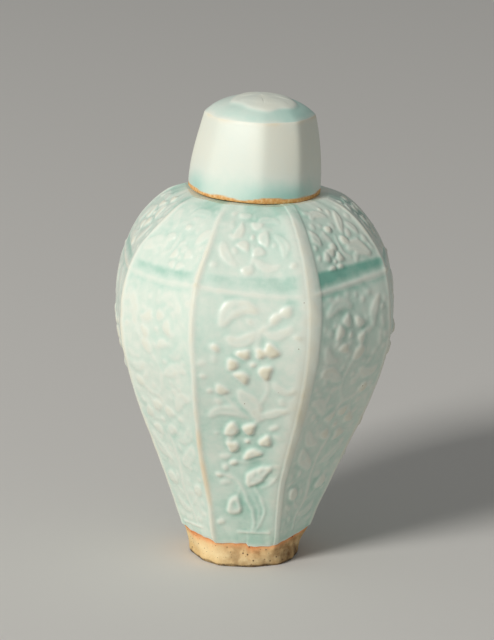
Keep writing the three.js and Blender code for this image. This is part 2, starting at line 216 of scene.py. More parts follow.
# The octagon at each height (row) and column: points, outward directions and places on the sides.
def octagonField(height, perSide, inward=0.0, bulge=wall["sideBulge"]):
    height = np.broadcast_to(height, (len(height), perSide * sides))
    halfWidth = np.interp(height, outline[:, 1], outline[:, 0]) - inward
    side = np.repeat(np.arange(sides), perSide)
    share = np.broadcast_to(np.tile(np.arange(perSide) / perSide, sides), height.shape)
    ends = []
    for step in (0, 1):
        corner = np.empty((*height.shape, 2))
        for k in range(sides):
            at = slice(k * perSide, (k + 1) * perSide)
            drift, reach = (pressedAt(height[:, at], (k + step) % sides, what) for what in ("drift", "reach"))
            bearing = np.radians(drift) + (k + step - 0.5) * turnOfSide
            reach = reach * halfWidth[:, at] / math.cos(turnOfSide / 2)
            corner[:, at] = np.stack((reach * np.sin(bearing), -reach * np.cos(bearing)), -1)
        ends.append(corner)
    point = mix(ends[0], ends[1], share[..., None])
    chord = ends[1] - ends[0]
    length = np.linalg.norm(chord, axis=-1)
    out = np.stack((chord[..., 1], -chord[..., 0]), -1) / length[..., None]
    toCorner = np.minimum(share, 1 - share) * length
    radial = point / np.linalg.norm(point, axis=-1)[..., None]
    out = mix(radial, out, fadeIn(toCorner, 0, press["turnWidth"])[..., None])
    out /= np.linalg.norm(out, axis=-1)[..., None]
    point = point + out * (bulge * arch(share))[..., None]
    field = {
        "point": point,
        "out": out,
        "side": side,
        "nearest": np.where(share < 0.5, side, (side + 1) % sides),
        "share": share,
        "across": (share - 0.5) * length,
        "fromLeft": share * length,
        "fromRight": (1 - share) * length,
        "toCorner": toCorner,
        "height": height,
        "tilt": np.interp(height, outline[:, 1], outlineTilt),
        "bearing": np.arctan2(point[..., 0], -point[..., 1]),
    }
    field["rib"] = ofCorner(press["ribRise"], field) * hill(toCorner, ofCorner(press["ribHalfWidth"], field))
    return field


# Relief, drawn as the mould's carver cut it. Each form is a height over the panel's ground, at u across the
# panel and v up it.
cut = {
    "padEdge": 0.8,
    "edge": 0.9,
    "veinWidth": 0.45,
    "leafEdge": 0.35,
    "leafFullness": 0.8,
    "leafTip": 0.6,  # a leaf narrower than this runs out flat
    "leafRibs": 0.16,
    "leafRibLean": 0.35,
    "reach": 8.0,  # how far past its listed places a form can go
}


def pad(u, v, places, size, turn=0, rise=1.3, dish=0.0, square=2.4, taper=0.1):  # a flat-topped petal or bud
    c, s = math.cos(math.radians(turn)), math.sin(math.radians(turn))
    x, y = u - places[0][0], v - places[0][1]
    x, y = x * c + y * s, y * c - x * s
    x = x * (1 - taper * np.clip(2 * y / size[1], -1, 1))  # broader at its far end
    q = ((np.abs(x) / size[0] * 2) ** square + (np.abs(y) / size[1] * 2) ** square) ** (1 / square)
    edge = cut["padEdge"] / (0.5 * min(size))
    return rise * smooth((1 - q) / edge + 0.5) * (1 - dish * hill(q, 0.5))


def spine(points, step=0.5):  # a smooth line through a few points
    p = np.array([points[0], *points, points[-1]], float)
    line = []
    for a, b, c, d in zip(p, p[1:], p[2:], p[3:]):
        t = np.linspace(0, 1, max(2, int(np.linalg.norm(c - b) / step)), endpoint=False)[:, None]
        pull, bend = 2 * a - 5 * b + 4 * c - d, 3 * b - a - 3 * c + d
        line.append(0.5 * (2 * b + (c - a) * t + pull * t**2 + bend * t**3))
    return np.vstack((*line, p[-1:]))


def nearLine(u, v, line):  # the distance to a line, and how far along it, from 0 to 1
    gap = np.hypot(u[..., None] - line[:, 0], v[..., None] - line[:, 1])
    nearest = gap.argmin(-1)
    return np.take_along_axis(gap, nearest[..., None], -1)[..., 0], nearest / (len(line) - 1)


def stem(u, v, places, wide=1.6, rise=0.9, taper=0.3):
    gap, t = nearLine(u, v, spine(places))
    half = wide / 2 * (1 - taper * np.abs(2 * t - 1) ** 2)
    return rise * smooth((half - gap) / cut["edge"] + 0.5)


def leaf(u, v, places, wide=6.0, rise=1.1, vein=0.35, fullest=0.45, ribs=0):  # pointed, along a bent line
    gap, t = nearLine(u, v, spine(places))
    swell = np.sin(math.pi * np.clip(t, 0, 1) ** (math.log(0.5) / math.log(fullest)))
    half = wide / 2 * swell ** cut["leafFullness"]
    height = rise * smooth((half + cut["leafEdge"] - gap) / cut["edge"])
    height = height * np.clip(half / cut["leafTip"], 0, 1)
    height = height - vein * hill(gap, cut["veinWidth"]) * (height > 0.3)
    if ribs:
        along = t - gap / wide * cut["leafRibLean"]
        height = height * (1 - cut["leafRibs"] * np.cos(ribs * 2 * math.pi * along))
    return np.maximum(height, 0)


def blossom(at, petals, boss, rise):  # wedge-shaped petals round a small boss, each one's point turned to it
    made = [(pad, [at], dict(size=(boss, boss), rise=rise * 0.9))]
    for away, size, turn in petals:
        outward = math.degrees(math.atan2(-away[0], away[1])) + 0.3 * turn
        facts = dict(size=size, turn=outward, rise=rise, dish=0.1, square=2.8, taper=0.42)
        made.append((pad, [(at[0] + away[0], at[1] + away[1])], facts))
    return made


# Lower panels: places are across the panel and up from the table.
lowerSprayA = [
    *blossom((1.4, 78.2), (((-8.2, 6.5), (7, 5.8), 35), ((-7.5, -3.5), (5.8, 5.6), -20),
                           ((0.6, 7.4), (5.6, 6.2), 70), ((9.2, 0.3), (5.4, 6), 60),
                           ((2.7, -7.3), (8.2, 5), 12)), boss=2.4, rise=1.85),
    (pad, [(14.6, 86.5)], dict(size=(5.2, 3.2), turn=40, rise=0.6)),
    (leaf, [(-20, 92.3), (-14, 95.6), (-7, 96), (0.5, 92)], dict(wide=6.2, rise=0.65)),
    (leaf, [(4.2, 89.6), (8.5, 93.4), (14.5, 95.6), (24, 97.2)], dict(wide=4.6, rise=0.65, fullest=0.4)),
    (leaf, [(-5.5, 109.5), (-0.8, 104), (3.6, 98.5), (5.4, 91.5)], dict(wide=9, rise=0.75, fullest=0.5)),
    (pad, [(-5.1, 64)], dict(size=(4.4, 3), turn=10, rise=1.3)),
    (stem, [(-3.1, 64.2), (0.4, 65), (5, 66.6), (10, 68)], dict(wide=2.4, rise=0.4)),
    (leaf, [(2.2, 50.2), (6, 55.5), (10.5, 59.5), (15, 62.6)], dict(wide=8.8, rise=1.3, vein=0.3, ribs=4)),
    (stem, [(14.6, 63.4), (18.6, 62.5), (19.3, 58.5), (16, 53.5), (10, 49)], dict(wide=1.6, rise=0.4)),
    (pad, [(-13.1, 56.8)], dict(size=(3.2, 2.4), turn=-10, rise=1.2)),
    (stem, [(-12.6, 57.4), (-6.8, 55.4), (-3, 52.6), (-0.4, 47.6), (2.2, 41), (4.6, 34.5), (5.2, 28),
            (4.2, 21.8)], dict(wide=1.9, rise=0.5)),
    (pad, [(-4.7, 38)], dict(size=(6.8, 11), turn=172, rise=1.3, dish=0.45, square=2.1, taper=0.5)),
    (stem, [(-3.2, 45.5), (-1.6, 48.5), (0.2, 47)], dict(wide=1.2, rise=0.4)),
    (stem, [(6.4, 49), (9, 43.2), (11, 36.7), (10.7, 31.2), (8.4, 25.8), (5.6, 21.4)],
     dict(wide=1.4, rise=0.5)),
    (stem, [(5.2, 44), (7.6, 38), (8.2, 31), (6.6, 24)], dict(wide=1.1, rise=0.35)),
    *blossom((1.5, 123.5), (((-10.2, 0.2), (5.6, 5.2), 10), ((-4.5, 5.6), (6, 5), -40),
                            ((3.8, 6.2), (5, 5), 30), ((9, 7.2), (7, 5.4), 35),
                            ((-5.6, -6.4), (7.6, 4.4), 10),
                            ((6, -3.8), (7, 5.8), 35)), boss=2.4, rise=1.8),
    (pad, [(-18, 132)], dict(size=(3.6, 4.6), turn=30, rise=1.3)),
    (pad, [(-13.9, 108.4)], dict(size=(6.6, 4.6), turn=-35, rise=1.3, taper=0.35)),
    (stem, [(-12, 106), (-9, 101), (-4, 98)], dict(wide=1.4, rise=0.5)),
    (leaf, [(-16, 143), (-12, 150.5), (-4, 153.5), (4, 151)], dict(wide=9, rise=0.75, fullest=0.5)),
    (leaf, [(-13, 139), (-8, 135.8), (-2, 137), (3, 141.5)], dict(wide=6.5, rise=0.65)),
    (pad, [(18, 152)], dict(size=(5.6, 5), turn=20, rise=1, taper=0.3)),
    (pad, [(13, 148.4)], dict(size=(7, 4.4), turn=40, rise=0.9)),
    (stem, [(10, 145.5), (5.5, 142), (3.5, 137), (2, 131)], dict(wide=1.8, rise=0.5)),
    (leaf, [(6, 141), (11.5, 139.5), (17.5, 141.5), (23, 146)], dict(wide=5, rise=0.55)),
    (leaf, [(12, 114.5), (16, 110), (21, 108.5), (25, 111)], dict(wide=4.4, rise=0.6)),
    (stem, [(8, 116), (9.5, 109), (7, 102), (5, 97)], dict(wide=1.5, rise=0.5)),
]
lowerSprayB = [
    (leaf, [(-19, 116), (-13, 117.5), (-7, 114), (-2, 112)], dict(wide=7, rise=0.94)),
    (pad, [(6.5, 126)], dict(size=(8.6, 5.6), turn=50, rise=1.2)),
    (stem, [(4, 122), (0.5, 117), (-1, 111), (0.5, 104), (3.5, 98)], dict(wide=1.8, rise=0.63)),
    *blossom((-1, 136.5), (((-7.5, 2), (6.2, 5), 10), ((-2.6, 7.6), (5.4, 5.8), 70),
                           ((6, 6), (6.4, 5), 30), ((8, -2.4), (5.8, 4.8), -10),
                           ((-3.5, -6.8), (7, 4.8), 20)), boss=2.4, rise=1.4),
    (leaf, [(-17.5, 147), (-13, 152), (-6, 153.5), (1, 151)], dict(wide=6.4, rise=0.79)),
    (leaf, [(21, 154.5), (17, 149), (15, 143), (16, 137)], dict(wide=6, rise=0.79)),
    (leaf, [(-18.5, 133), (-16.5, 128), (-13, 124.5), (-8, 123.5)], dict(wide=5, rise=0.72)),
    (leaf, [(10, 116.5), (14.5, 113), (19.5, 113.5), (23.5, 117)], dict(wide=5.4, rise=0.79)),
    (pad, [(15.5, 104.5)], dict(size=(6.2, 4.8), turn=40, rise=1.3)),
    (stem, [(13, 102.5), (8.5, 99.5), (3.5, 98), (0, 93), (-1, 86)], dict(wide=1.8, rise=0.63)),
    *blossom((4.5, 84), (((-6.6, 5.6), (6, 5), -35), ((1.4, 8), (5.4, 5.6), 80), ((8, 3), (6.2, 5), 20),
                         ((4.6, -5.8), (6.6, 4.8), -20), ((-5.4, -4.6), (6, 5), 40)), boss=2.4, rise=1.4),
    (leaf, [(-20, 100.5), (-15, 100), (-10.5, 96.5), (-7.5, 91)], dict(wide=6.4, rise=0.86)),
    (leaf, [(-15, 84), (-12.5, 78.5), (-8.5, 74.5), (-3, 73)], dict(wide=5.6, rise=0.79)),
    (leaf, [(-2.5, 58), (-7, 62.5), (-11.5, 67.5), (-14, 73)], dict(wide=7, rise=0.94, ribs=7)),
    (leaf, [(4.5, 60), (9, 63.5), (13, 68.5), (16.5, 74.5)], dict(wide=6.4, rise=0.86)),
    (stem, [(3, 78), (1.5, 72), (0, 64), (0.5, 55), (2, 46), (1, 37), (-1.5, 28), (-2, 21.5)],
     dict(wide=2, rise=0.7)),
    (pad, [(9.6, 48)], dict(size=(8, 6), turn=60, rise=1.5)),
    (stem, [(8, 43.5), (5.5, 40), (2, 39)], dict(wide=1.4, rise=0.56)),
    (pad, [(-8.4, 44)], dict(size=(7.4, 5.2), turn=110, rise=1.4)),
    (stem, [(-7, 40), (-4, 36), (-0.6, 33)], dict(wide=1.3, rise=0.56)),
    (leaf, [(-1, 30), (4, 30), (7.5, 33), (9.5, 37.5)], dict(wide=4.6, rise=0.79)),
]
# Shoulder panels: places are across the panel and up the slope from the belt.
shoulderSprayA = [
    *blossom((-1.5, 28.5), (((5.8, -1), (7.4, 5.6), 30), ((-7, 3), (9, 4.2), -8),
                            ((-4.2, -4.6), (6.2, 5), 40), ((3.4, -7.6), (5.6, 5), -30),
                            ((2.4, 6.2), (5.6, 4.6), 60)), boss=2.2, rise=1.4),
    (pad, [(-5, 41.5)], dict(size=(6, 4.2), turn=0, rise=1.3)),
    (leaf, [(1.5, 35.5), (5, 39), (9, 39.5), (13, 37.5)], dict(wide=4.6, rise=0.79)),
    (leaf, [(10, 30), (13.5, 27), (15.5, 22), (15, 17)], dict(wide=5, rise=0.79)),
    (leaf, [(-16, 26), (-15.5, 20), (-12.5, 15), (-8, 12.5)], dict(wide=5, rise=0.79)),
    (pad, [(-3, 10.5)], dict(size=(6.4, 4.6), turn=20, rise=1.2)),
    (stem, [(-1, 24), (0, 19), (-1, 13)], dict(wide=1.6, rise=0.63)),
    (leaf, [(0.5, 16.5), (4.5, 13), (9.5, 12), (14, 13.5)], dict(wide=5, rise=0.72)),
]
shoulderSprayB = [
    (leaf, [(-17.5, 32), (-14.5, 28), (-11, 22)], dict(wide=5.6, rise=0.94)),
    (pad, [(-1.5, 30)], dict(size=(4, 3.4), turn=0, rise=1.4)),
    (pad, [(6, 23)], dict(size=(5.2, 4.4), turn=-40, rise=1.3)),
    (pad, [(-4, 20.5)], dict(size=(3.8, 4.4), turn=20, rise=1.2)),
    *blossom((-6.5, 13), (((-4.6, 2.6), (4.6, 4.2), -30), ((-0.6, 4.6), (4.2, 4.2), 0),
                          ((4, 1.4), (4.6, 4.2), 25), ((2.2, -3.8), (4.6, 3.6), -20),
                          ((-3.4, -3.6), (4.6, 3.6), 20)), boss=1.8, rise=1.3),
    (leaf, [(11.5, 41), (10.5, 36), (8, 30.5), (6.8, 26)], dict(wide=4.4, rise=0.79)),
    (leaf, [(5.5, 17), (10, 19), (15.5, 17), (21, 12.5)], dict(wide=8.6, rise=0.94, vein=0.25)),
    (leaf, [(-9, 38), (-5.5, 41), (-1, 40.5), (3, 37.5)], dict(wide=4.6, rise=0.72)),
    (stem, [(1.5, 26), (1, 21), (2, 15.5), (6, 13)], dict(wide=1.5, rise=0.63)),
    (leaf, [(13.5, 33), (16.5, 29), (18, 24.5)], dict(wide=4, rise=0.72)),
]
# Which spray each side carries, from the one that faces the viewer, and whether it is turned over.
lowerSides = ((lowerSprayA, 1), (lowerSprayB, 1), (lowerSprayA, -1), (lowerSprayB, -1)) * 2
shoulderSides = ((shoulderSprayA, 1), (shoulderSprayB, 1), (shoulderSprayA, -1), (shoulderSprayB, -1)) * 2

# What each side's mould carried, below the belt and above it: its spray, how many small worn leaves fill the
# ground between the flowers, between which levels, and how strongly the clay took the mould.
lowerCarving = {
    "sprays": lowerSides,
    "fill": (16, 84, 60, 60, 60, 60, 60, 60),
    "fillLevels": (24.0, 158.0),
    "strength": (0.95, 0.74, 1.0, 1.0, 1.0, 1.0, 0.7, 0.42),
}
shoulderCarving = {
    "sprays": shoulderSides,
    "fill": (10, 24, 20, 20, 20, 20, 20, 20),
    "fillLevels": (12.0, 44.0),
    "strength": (0.45, 0.75, 0.9, 0.9, 0.9, 0.9, 0.7, 0.36),
}
foliage = {
    "seed": 80,
    "tries": 40,  # for each leaf, before the ground counts as full
    "apart": 4.4,
    "fromEdge": 3.5,
    "long": (3.6, 7.0),
    "wide": (2.2, 3.8),
    "rise": 0.62,
    "riseShare": (0.6, 1.2),
    "buds": 0.3,  # the share of them that are buds
    "budRise": 1.3,
    "bend": 0.14,
    "vein": 0.1,
}
hand = {"seed": 40, "wavelengths": (9.0, 14.0, 21.0, 32.0), "phases": 6.28, "shift": 0.2}
panelEdge = (1.2, 3.2)  # how far inside its frame the relief starts, and where it stands in full


def handWarp(u, v, seed):  # shifts the drawing by about half a millimetre, so that no two pressings match
    draw = np.random.default_rng(seed)
    moved = []
    for _ in range(2):
        total = 0
        for wavelength in hand["wavelengths"]:
            a = draw.uniform(0, 2 * math.pi)
            along = (u * math.cos(a) + v * math.sin(a)) * 2 * math.pi / wavelength
            total = total + np.sin(along + draw.uniform(0, hand["phases"]))
        moved.append(total * hand["shift"])
    return u + moved[0], v + moved[1]


# Fills the free ground between a spray's forms with small leaves and buds.
def smallLeaves(spray, count, seed, levels, edgeLevels, edgeReach):
    draw = np.random.default_rng(seed)
    f = foliage
    taken = [np.array(place, float) for _, places, _ in spray for place in places]
    made = []
    for _ in range(f["tries"] * count):
        if len(made) == count:
            break
        v = draw.uniform(*levels)
        reach = np.interp(v, edgeLevels, edgeReach) - f["fromEdge"]
        spot = np.array((draw.uniform(-reach, reach), v))
        turn, long, wide = draw.uniform(0, 2 * math.pi), draw.uniform(*f["long"]), draw.uniform(*f["wide"])
        rise, bud = f["rise"] * draw.uniform(*f["riseShare"]), draw.uniform() < f["buds"]
        if min(np.linalg.norm(np.array(taken) - spot, axis=1)) < f["apart"]:
            continue
        taken.append(spot)
        half = 0.5 * long * np.array((math.cos(turn), math.sin(turn)))
        aside = f["bend"] * long * np.array((-math.sin(turn), math.cos(turn)))
        if bud:
            facts = dict(size=(wide, 0.8 * wide), turn=math.degrees(turn), rise=f["budRise"] * rise)
            made.append((pad, [spot], facts))
        else:
            facts = dict(wide=wide, rise=rise, vein=f["vein"])
            made.append((leaf, [spot - half, spot + aside, spot + half], facts))
    return made


def reliefField(field, up, carving):  # every form of every panel, the higher where two meet
    relief = np.zeros_like(field["across"])
    for side, (spray, turned) in enumerate(carving["sprays"]):
        columns = np.flatnonzero(field["side"] == side)
        across, rise = field["across"][:, columns], up[:, columns]
        u, v = handWarp(across * turned, rise, hand["seed"] + side)
        fill, seed = carving["fill"][side], foliage["seed"] + side
        edge = (rise.mean(1), np.abs(across).max(1))
        filler = smallLeaves(spray, fill, seed, carving["fillLevels"], *edge)
        made = np.zeros_like(u)
        for form, places, facts in (*spray, *filler):
            least, most = np.min(places, 0) - cut["reach"], np.max(places, 0) + cut["reach"]
            near = (u > least[0]) & (u < most[0]) & (v > least[1]) & (v < most[1])
            if near.any():
                made[near] = np.maximum(made[near], form(u[near], v[near], places, **facts))
        relief[:, columns] = made * carving["strength"][side]
    return relief * fadeIn(insideFrame(field)[0], *panelEdge)


# A lathe turns a profile with a point for each row, then each point takes its place on the moulded form.
def spunMesh(name, placeOf, sharpRows, attributes, closed=True):
    rows, columns = placeOf.shape[:2]
    shape = bmesh.new()
    rowLayer = shape.verts.layers.int.new("row")
    profile = []
    for row in range(rows):
        vert = shape.verts.new((1, 0, row / rows))
        vert[rowLayer] = row
        profile.append(vert)
    pairs = list(zip(profile, profile[1:]))
    if closed:
        pairs.append((profile[-1], profile[0]))
    edges = [shape.edges.new(pair) for pair in pairs]
    bmesh.ops.spin(shape, geom=profile + edges, cent=(0, 0, 0), axis=(0, 0, 1), angle=2 * math.pi,
                   steps=columns, use_merge=True)
    row = np.fromiter((v[rowLayer] for v in shape.verts), int, len(shape.verts))
    spot = np.array([v.co[:] for v in shape.verts])
    column = np.round(np.arctan2(spot[:, 1], spot[:, 0]) / (2 * math.pi) * columns).astype(int) % columns
    for edge in shape.edges:
        start, end = (v[rowLayer] for v in edge.verts)
        edge.smooth = start != end or start not in sharpRows
    mesh = bpy.data.meshes.new(name)
    shape.to_mesh(mesh)
    shape.free()
    mesh.vertices.foreach_set("co", (placeOf[row, column] * mm).astype(np.float32).ravel())
    for label, values in attributes.items():
        stored = mesh.attributes.new(label, "FLOAT", "POINT")
        stored.data.foreach_set("value", values[row, column].astype(np.float32))
    closing = bmesh.new()
    closing.from_mesh(mesh)
    bmesh.ops.remove_doubles(closing, verts=closing.verts, dist=0.002 * mm)
    bmesh.ops.recalc_face_normals(closing, faces=closing.faces)
    for face in closing.faces:
        face.smooth = True
    closing.to_mesh(mesh)
    closing.free()
    mesh.attributes.remove(mesh.attributes["row"])
    piece = bpy.data.objects.new(name, mesh)
    bpy.context.scene.collection.objects.link(piece)
    print(f"{name}: {len(mesh.vertices)} points, {sum(len(p.vertices) - 2 for p in mesh.polygons)} triangles")
    return piece


def withLevel(point, height):
    return np.concatenate((point, np.broadcast_to(height, point.shape[:2])[..., None]), -1)


def lathed(reaches, bearing):  # round rows of a reach and a level each
    circle = np.stack((np.sin(bearing), -np.cos(bearing)), -1)
    return np.stack([withLevel(reach * circle[None], level)[0] for reach, level in reaches])


def raised(field, rise):  # moves the wall out along its own slope
    point = field["point"] + field["out"] * (rise * np.cos(field["tilt"]))[..., None]
    return withLevel(point, field["height"] - rise * np.sin(field["tilt"]))


# The glaze was wiped off the foot by hand: its edge, in degrees from the front and mm up from the table.
wipe = {
    "bearing": (-180, -135, -90, -67, -59, -45, -29, -27, -13, 2, 4, 25, 42, 58, 68, 90, 135, 180),
    "level": (13, 14.5, 17.8, 17.3, 15.2, 14.6, 14, 12.7, 12.8, 13.1, 11.3, 11.7, 14.1, 16.5, 19.6, 19, 15,
              13),
    "wobble": 0.12,
}


def glazeLine(perSide):  # the level of the wiped edge at each column of a mesh
    bearing = octagonField(np.full((1, 1), wall["footTop"][1]), perSide)["bearing"]
    level = np.interp(np.degrees(bearing), wipe["bearing"], wipe["level"])
    return level + wipe["wobble"] * wander(7 * bearing, 0, 11, waves=4)


# Beside the broad front-right rib the frame left a plain margin, a little proud: its width at some levels.
margin = {
    "side": 1,
    "levels": (20, 60, 110, 160, 200),
    "width": (2.5, 3.5, 5.5, 8.5, 6.0),
    "rise": 0.3,
    "edge": 0.7,
}
# The frame's line above the foot, which is broken in places.
skirting = {"level": 20.6, "rise": 0.45, "edge": (1.2, 0.2), "fromCorner": (2, 4), "breaks": (-0.4, 0.1)}
# The belt between panels and shoulder wanders: its level at each corner, how much it sags in each side, and
# how far up the slope the plain band above it reaches, where the glaze lies deep.
belt = {
    "corner": (163.2, 159.6, 164.6, 163.4, 162.8, 163.2, 163.4, 163.6),
    "sag": (1.6, -0.2, 0.8, 0.6, 0.9, 0.7, 0.9, 1.8),
    "band": (7.0, 10.6, 7.2, 7.0, 7.5, 7.0, 6.5, 6.2),
    "share": (0.4, 0.7, 1.0, 1.0, 1.0, 1.0, 0.9, 0.5),  # how strongly it was moulded on each side
    "rise": 0.62,
    "halfDepth": 2.0,
    "gapAtBroadRib": 5.0,
    "lostAtBroadRib": 0.9,
}


def insideFrame(field):  # how far a place lies inside its panel's frame, and the margin's width there
    width = np.interp(field["height"], margin["levels"], margin["width"]) * (field["side"] == margin["side"])
    return np.minimum(field["fromLeft"] - width, field["fromRight"]), width


def measureFromBelt(field):  # how far past the belt a place lies, straight up and up the slope
    sag = np.array(belt["sag"])[field["side"]] * arch(field["share"])
    level = betweenCorners(belt["corner"], field) - sag
    field["past"] = field["height"] - level
    field["climb"] = lengthAt(field["height"]) - lengthAt(level)
    field["pastBand"] = field["climb"] - betweenCorners(belt["band"], field)


def girdle(field):  # how far the belt stands proud
    made = belt["rise"] * fadeIn(np.abs(field["past"]), belt["halfDepth"], 0) * ofSide(belt["share"], field)
    lost = hill(field["toCorner"], belt["gapAtBroadRib"]) * (field["nearest"] == margin["side"])
    return made * (1 - belt["lostAtBroadRib"] * lost)


def frameLines(field):  # how far the skirting and the plain margin stand proud
    s = skirting
    line = s["rise"] * fadeIn(np.abs(field["height"] - s["level"]), *s["edge"])
    line = line * fadeIn(field["toCorner"], *s["fromCorner"])
    line = line * fadeIn(np.sin(5 * field["bearing"] + 0.4), *s["breaks"])
    inside, width = insideFrame(field)
    return line + margin["rise"] * fadeIn(inside, margin["edge"], -margin["edge"]) * fadeIn(width, 0, 2)


# How the body's wall was worked. A pair is where something starts to show and where it shows in full.
working = {
    "cornerBlur": 0.8,
    "wearBlur": 6.5,
    "wearReach": 15.0,
    "ribUnderSeat": (0, 4.5),
    "ribAboveTable": (11, 17),
    "ribUneven": 0.2,
    "broadRibLow": 0.35,  # the broad rib was rubbed low near the foot
    "broadRibWhole": (25, 75),
    "reliefUnderSeat": (0, 4),
    "reliefAboveBand": (-0.8, 0.8),
    "reliefBelowBelt": (2.4, 4.0),
    "uneven": ((0.16, 1, 1, 3), (0.06, 4, 4, 4), (0.04, 11, 9, 6)),  # mm, waves round and up, and a seed
}
# How deep the glaze lies, from 0 on a bare edge to 1 in a pool. It levels itself in the kiln, so it is thin
# on what stands proud and deep in the hollows beside it.
glazeLay = {
    "usual": 0.44,
    "hollows": ((0.28, 1.3), (0.3, 4.0)),  # what a hollow gathers, and how wide it is
    "cloudy": 0.04,
    "pool": 0.6,  # how much deeper it lies in the plain band
    "aboveBelt": (0.4, 5.4),
    "bandEnd": (1.8, -1.2),
    # painted shade in a band just under the belt, drawn as deeper glaze
    "paintedShadeUnderBelt": 0.2,
    "belowBelt": (1.6, 2.6),
    "belowBeltEnd": (6.0, 2.5),
    "offRelief": 0.85,
    "insideMargin": (-0.4, 1.2),
    "fromCorner": (1, 7),
    # on each side, how deep the band above the belt pools and how dark the painted shade under the belt is
    "poolAndShadeOfSide": (0.3, 0.76, 0.7, 0.6, 0.7, 0.6, 0.6, 0.38),
    "runOfSide": (0.1, 0.1, 0.08, 0.08, 0.08, 0.08, 0.05, 0.0),  # it ran down and gathered above the foot
    "runLevels": (96, 36),
    "seatPool": 0.2,
    "seatPoolUnderSeat": (7.5, 2.5),
    "ribBare": (0.06, 0.11, 0.05, 0.05, 0.05, 0.05, 0.05, 0.05),  # how much thinner it lies along each rib
    "ribBlush": (0.95, 0.1, 0.4, 0.4, 0.5, 0.5, 0.4, 0.2),  # how brown each rib was burnt low down
    "blushLevels": (104, 70),
}


# Besides the glaze's depth, this carries painted shade in a band just under the belt.
def glazeDepth(field, relief, frameRise, rowStep):
    g, bearing, up = glazeLay, field["bearing"], field["height"]
    proud = relief + frameRise
    hollows = sum(share * (soften(proud, rowStep, radius) - proud) for share, radius in g["hollows"])
    depth = g["usual"] + hollows + g["cloudy"] * wander(bearing, up, 5)
    poolAndShadeShare = ofSide(g["poolAndShadeOfSide"], field)
    above = fadeIn(field["climb"], *g["aboveBelt"]) * fadeIn(field["pastBand"], *g["bandEnd"])
    # a band just under the belt: painted shade, not pooled glaze
    below = fadeIn(-field["climb"], *g["belowBelt"]) * fadeIn(-field["climb"], *g["belowBeltEnd"])
    inside, width = insideFrame(field)
    fromMargin, fromRib = fadeIn(inside, *g["insideMargin"]), fadeIn(field["toCorner"], *g["fromCorner"])
    clear = np.where(width > 0, fromMargin, fromRib) * (1 - g["offRelief"] * np.clip(relief, 0, 1))
    depth = depth + poolAndShadeShare * (g["pool"] * above + g["paintedShadeUnderBelt"] * below) * clear
    depth = depth + ofSide(g["runOfSide"], field) * fadeIn(up, *g["runLevels"])
    underSeat = fadeIn(wall["seatHeight"] - up, *g["seatPoolUnderSeat"])
    depth = depth + g["seatPool"] * underSeat * smooth(0.5 + 0.6 * wander(3 * bearing, up, 12))
    return depth - ofCorner(g["ribBare"], field) / ofCorner(press["ribRise"], field) * field["rib"]


def ribBlush(field):  # where the kiln burnt the thin glaze of a rib brown, in patches
    patchy = smooth((wander(2 * field["bearing"], 5 * field["height"], 9) + 1.0) / 2.2)
    blush = ofCorner(glazeLay["ribBlush"], field) * fadeIn(field["rib"], 0, 0.6)
    return blush * fadeIn(field["height"], *glazeLay["blushLevels"]) * (0.15 + 0.85 * patchy)


def bodyWall(height, sprayUp, rowStep, carving, pressing):  # the outer face of the lower body or the shoulder
    w = working
    field = octagonField(height, bodyGrid["perSide"])
    field["point"] = blurRound(field["point"], w["cornerBlur"] / bodyColumnStep)
    rounded = blurRound(field["point"], w["wearBlur"] / bodyColumnStep)
    softness = ofCorner(press["softness"], field) * fadeIn(field["toCorner"], w["wearReach"], 0)
    field["point"] = mix(field["point"], rounded, softness[..., None])
    bearing, up = field["bearing"], field["height"]
    underSeat = wall["seatHeight"] - up
    measureFromBelt(field)
    above = fadeIn(field["pastBand"], *w["reliefAboveBand"])
    below = fadeIn(-field["climb"], *w["reliefBelowBelt"])
    carved = reliefField(field, np.broadcast_to(sprayUp, up.shape), carving)
    relief = soften(carved * np.where(field["climb"] > 0, above, below), rowStep, pressing)
    relief = relief * fadeIn(underSeat, *w["reliefUnderSeat"])
    worn = 1 + w["ribUneven"] * wander(3 * bearing, 3 * up, 8)
    rib = field["rib"] * fadeIn(underSeat, *w["ribUnderSeat"]) * fadeIn(up, *w["ribAboveTable"]) * worn
    rubbed = mix(w["broadRibLow"], 1, fadeIn(up, *w["broadRibWhole"]))
    rib = rib * np.where(field["nearest"] == margin["side"], rubbed, 1)
    frameRise = rib + girdle(field) * worn + frameLines(field)
    outer = raised(field, frameRise + relief + roughly(w["uneven"], bearing, up))
    return field, outer, glazeDepth(field, relief, frameRise, rowStep), ribBlush(field)


lowerPiece = {
    "rowStep": 0.96,
    "pressing": 0.75,  # how far the pressing softened the carving
    "edgeFollows": 9.5,  # how far up the rows still bend with the glaze's edge
    "edgeThin": 0.4,
    "edgeRound": 0.5,
    "beadDepth": 0.1,
    "beadUp": 3.0,
    "beadWide": 2.5,
    "edgeBare": 0.2,
    "edgeBareUp": 0.8,
    "innerRows": 18,
    "innerEnd": 20.0,
}
innerDepth = 0.5  # the glaze inside, where no light shows it


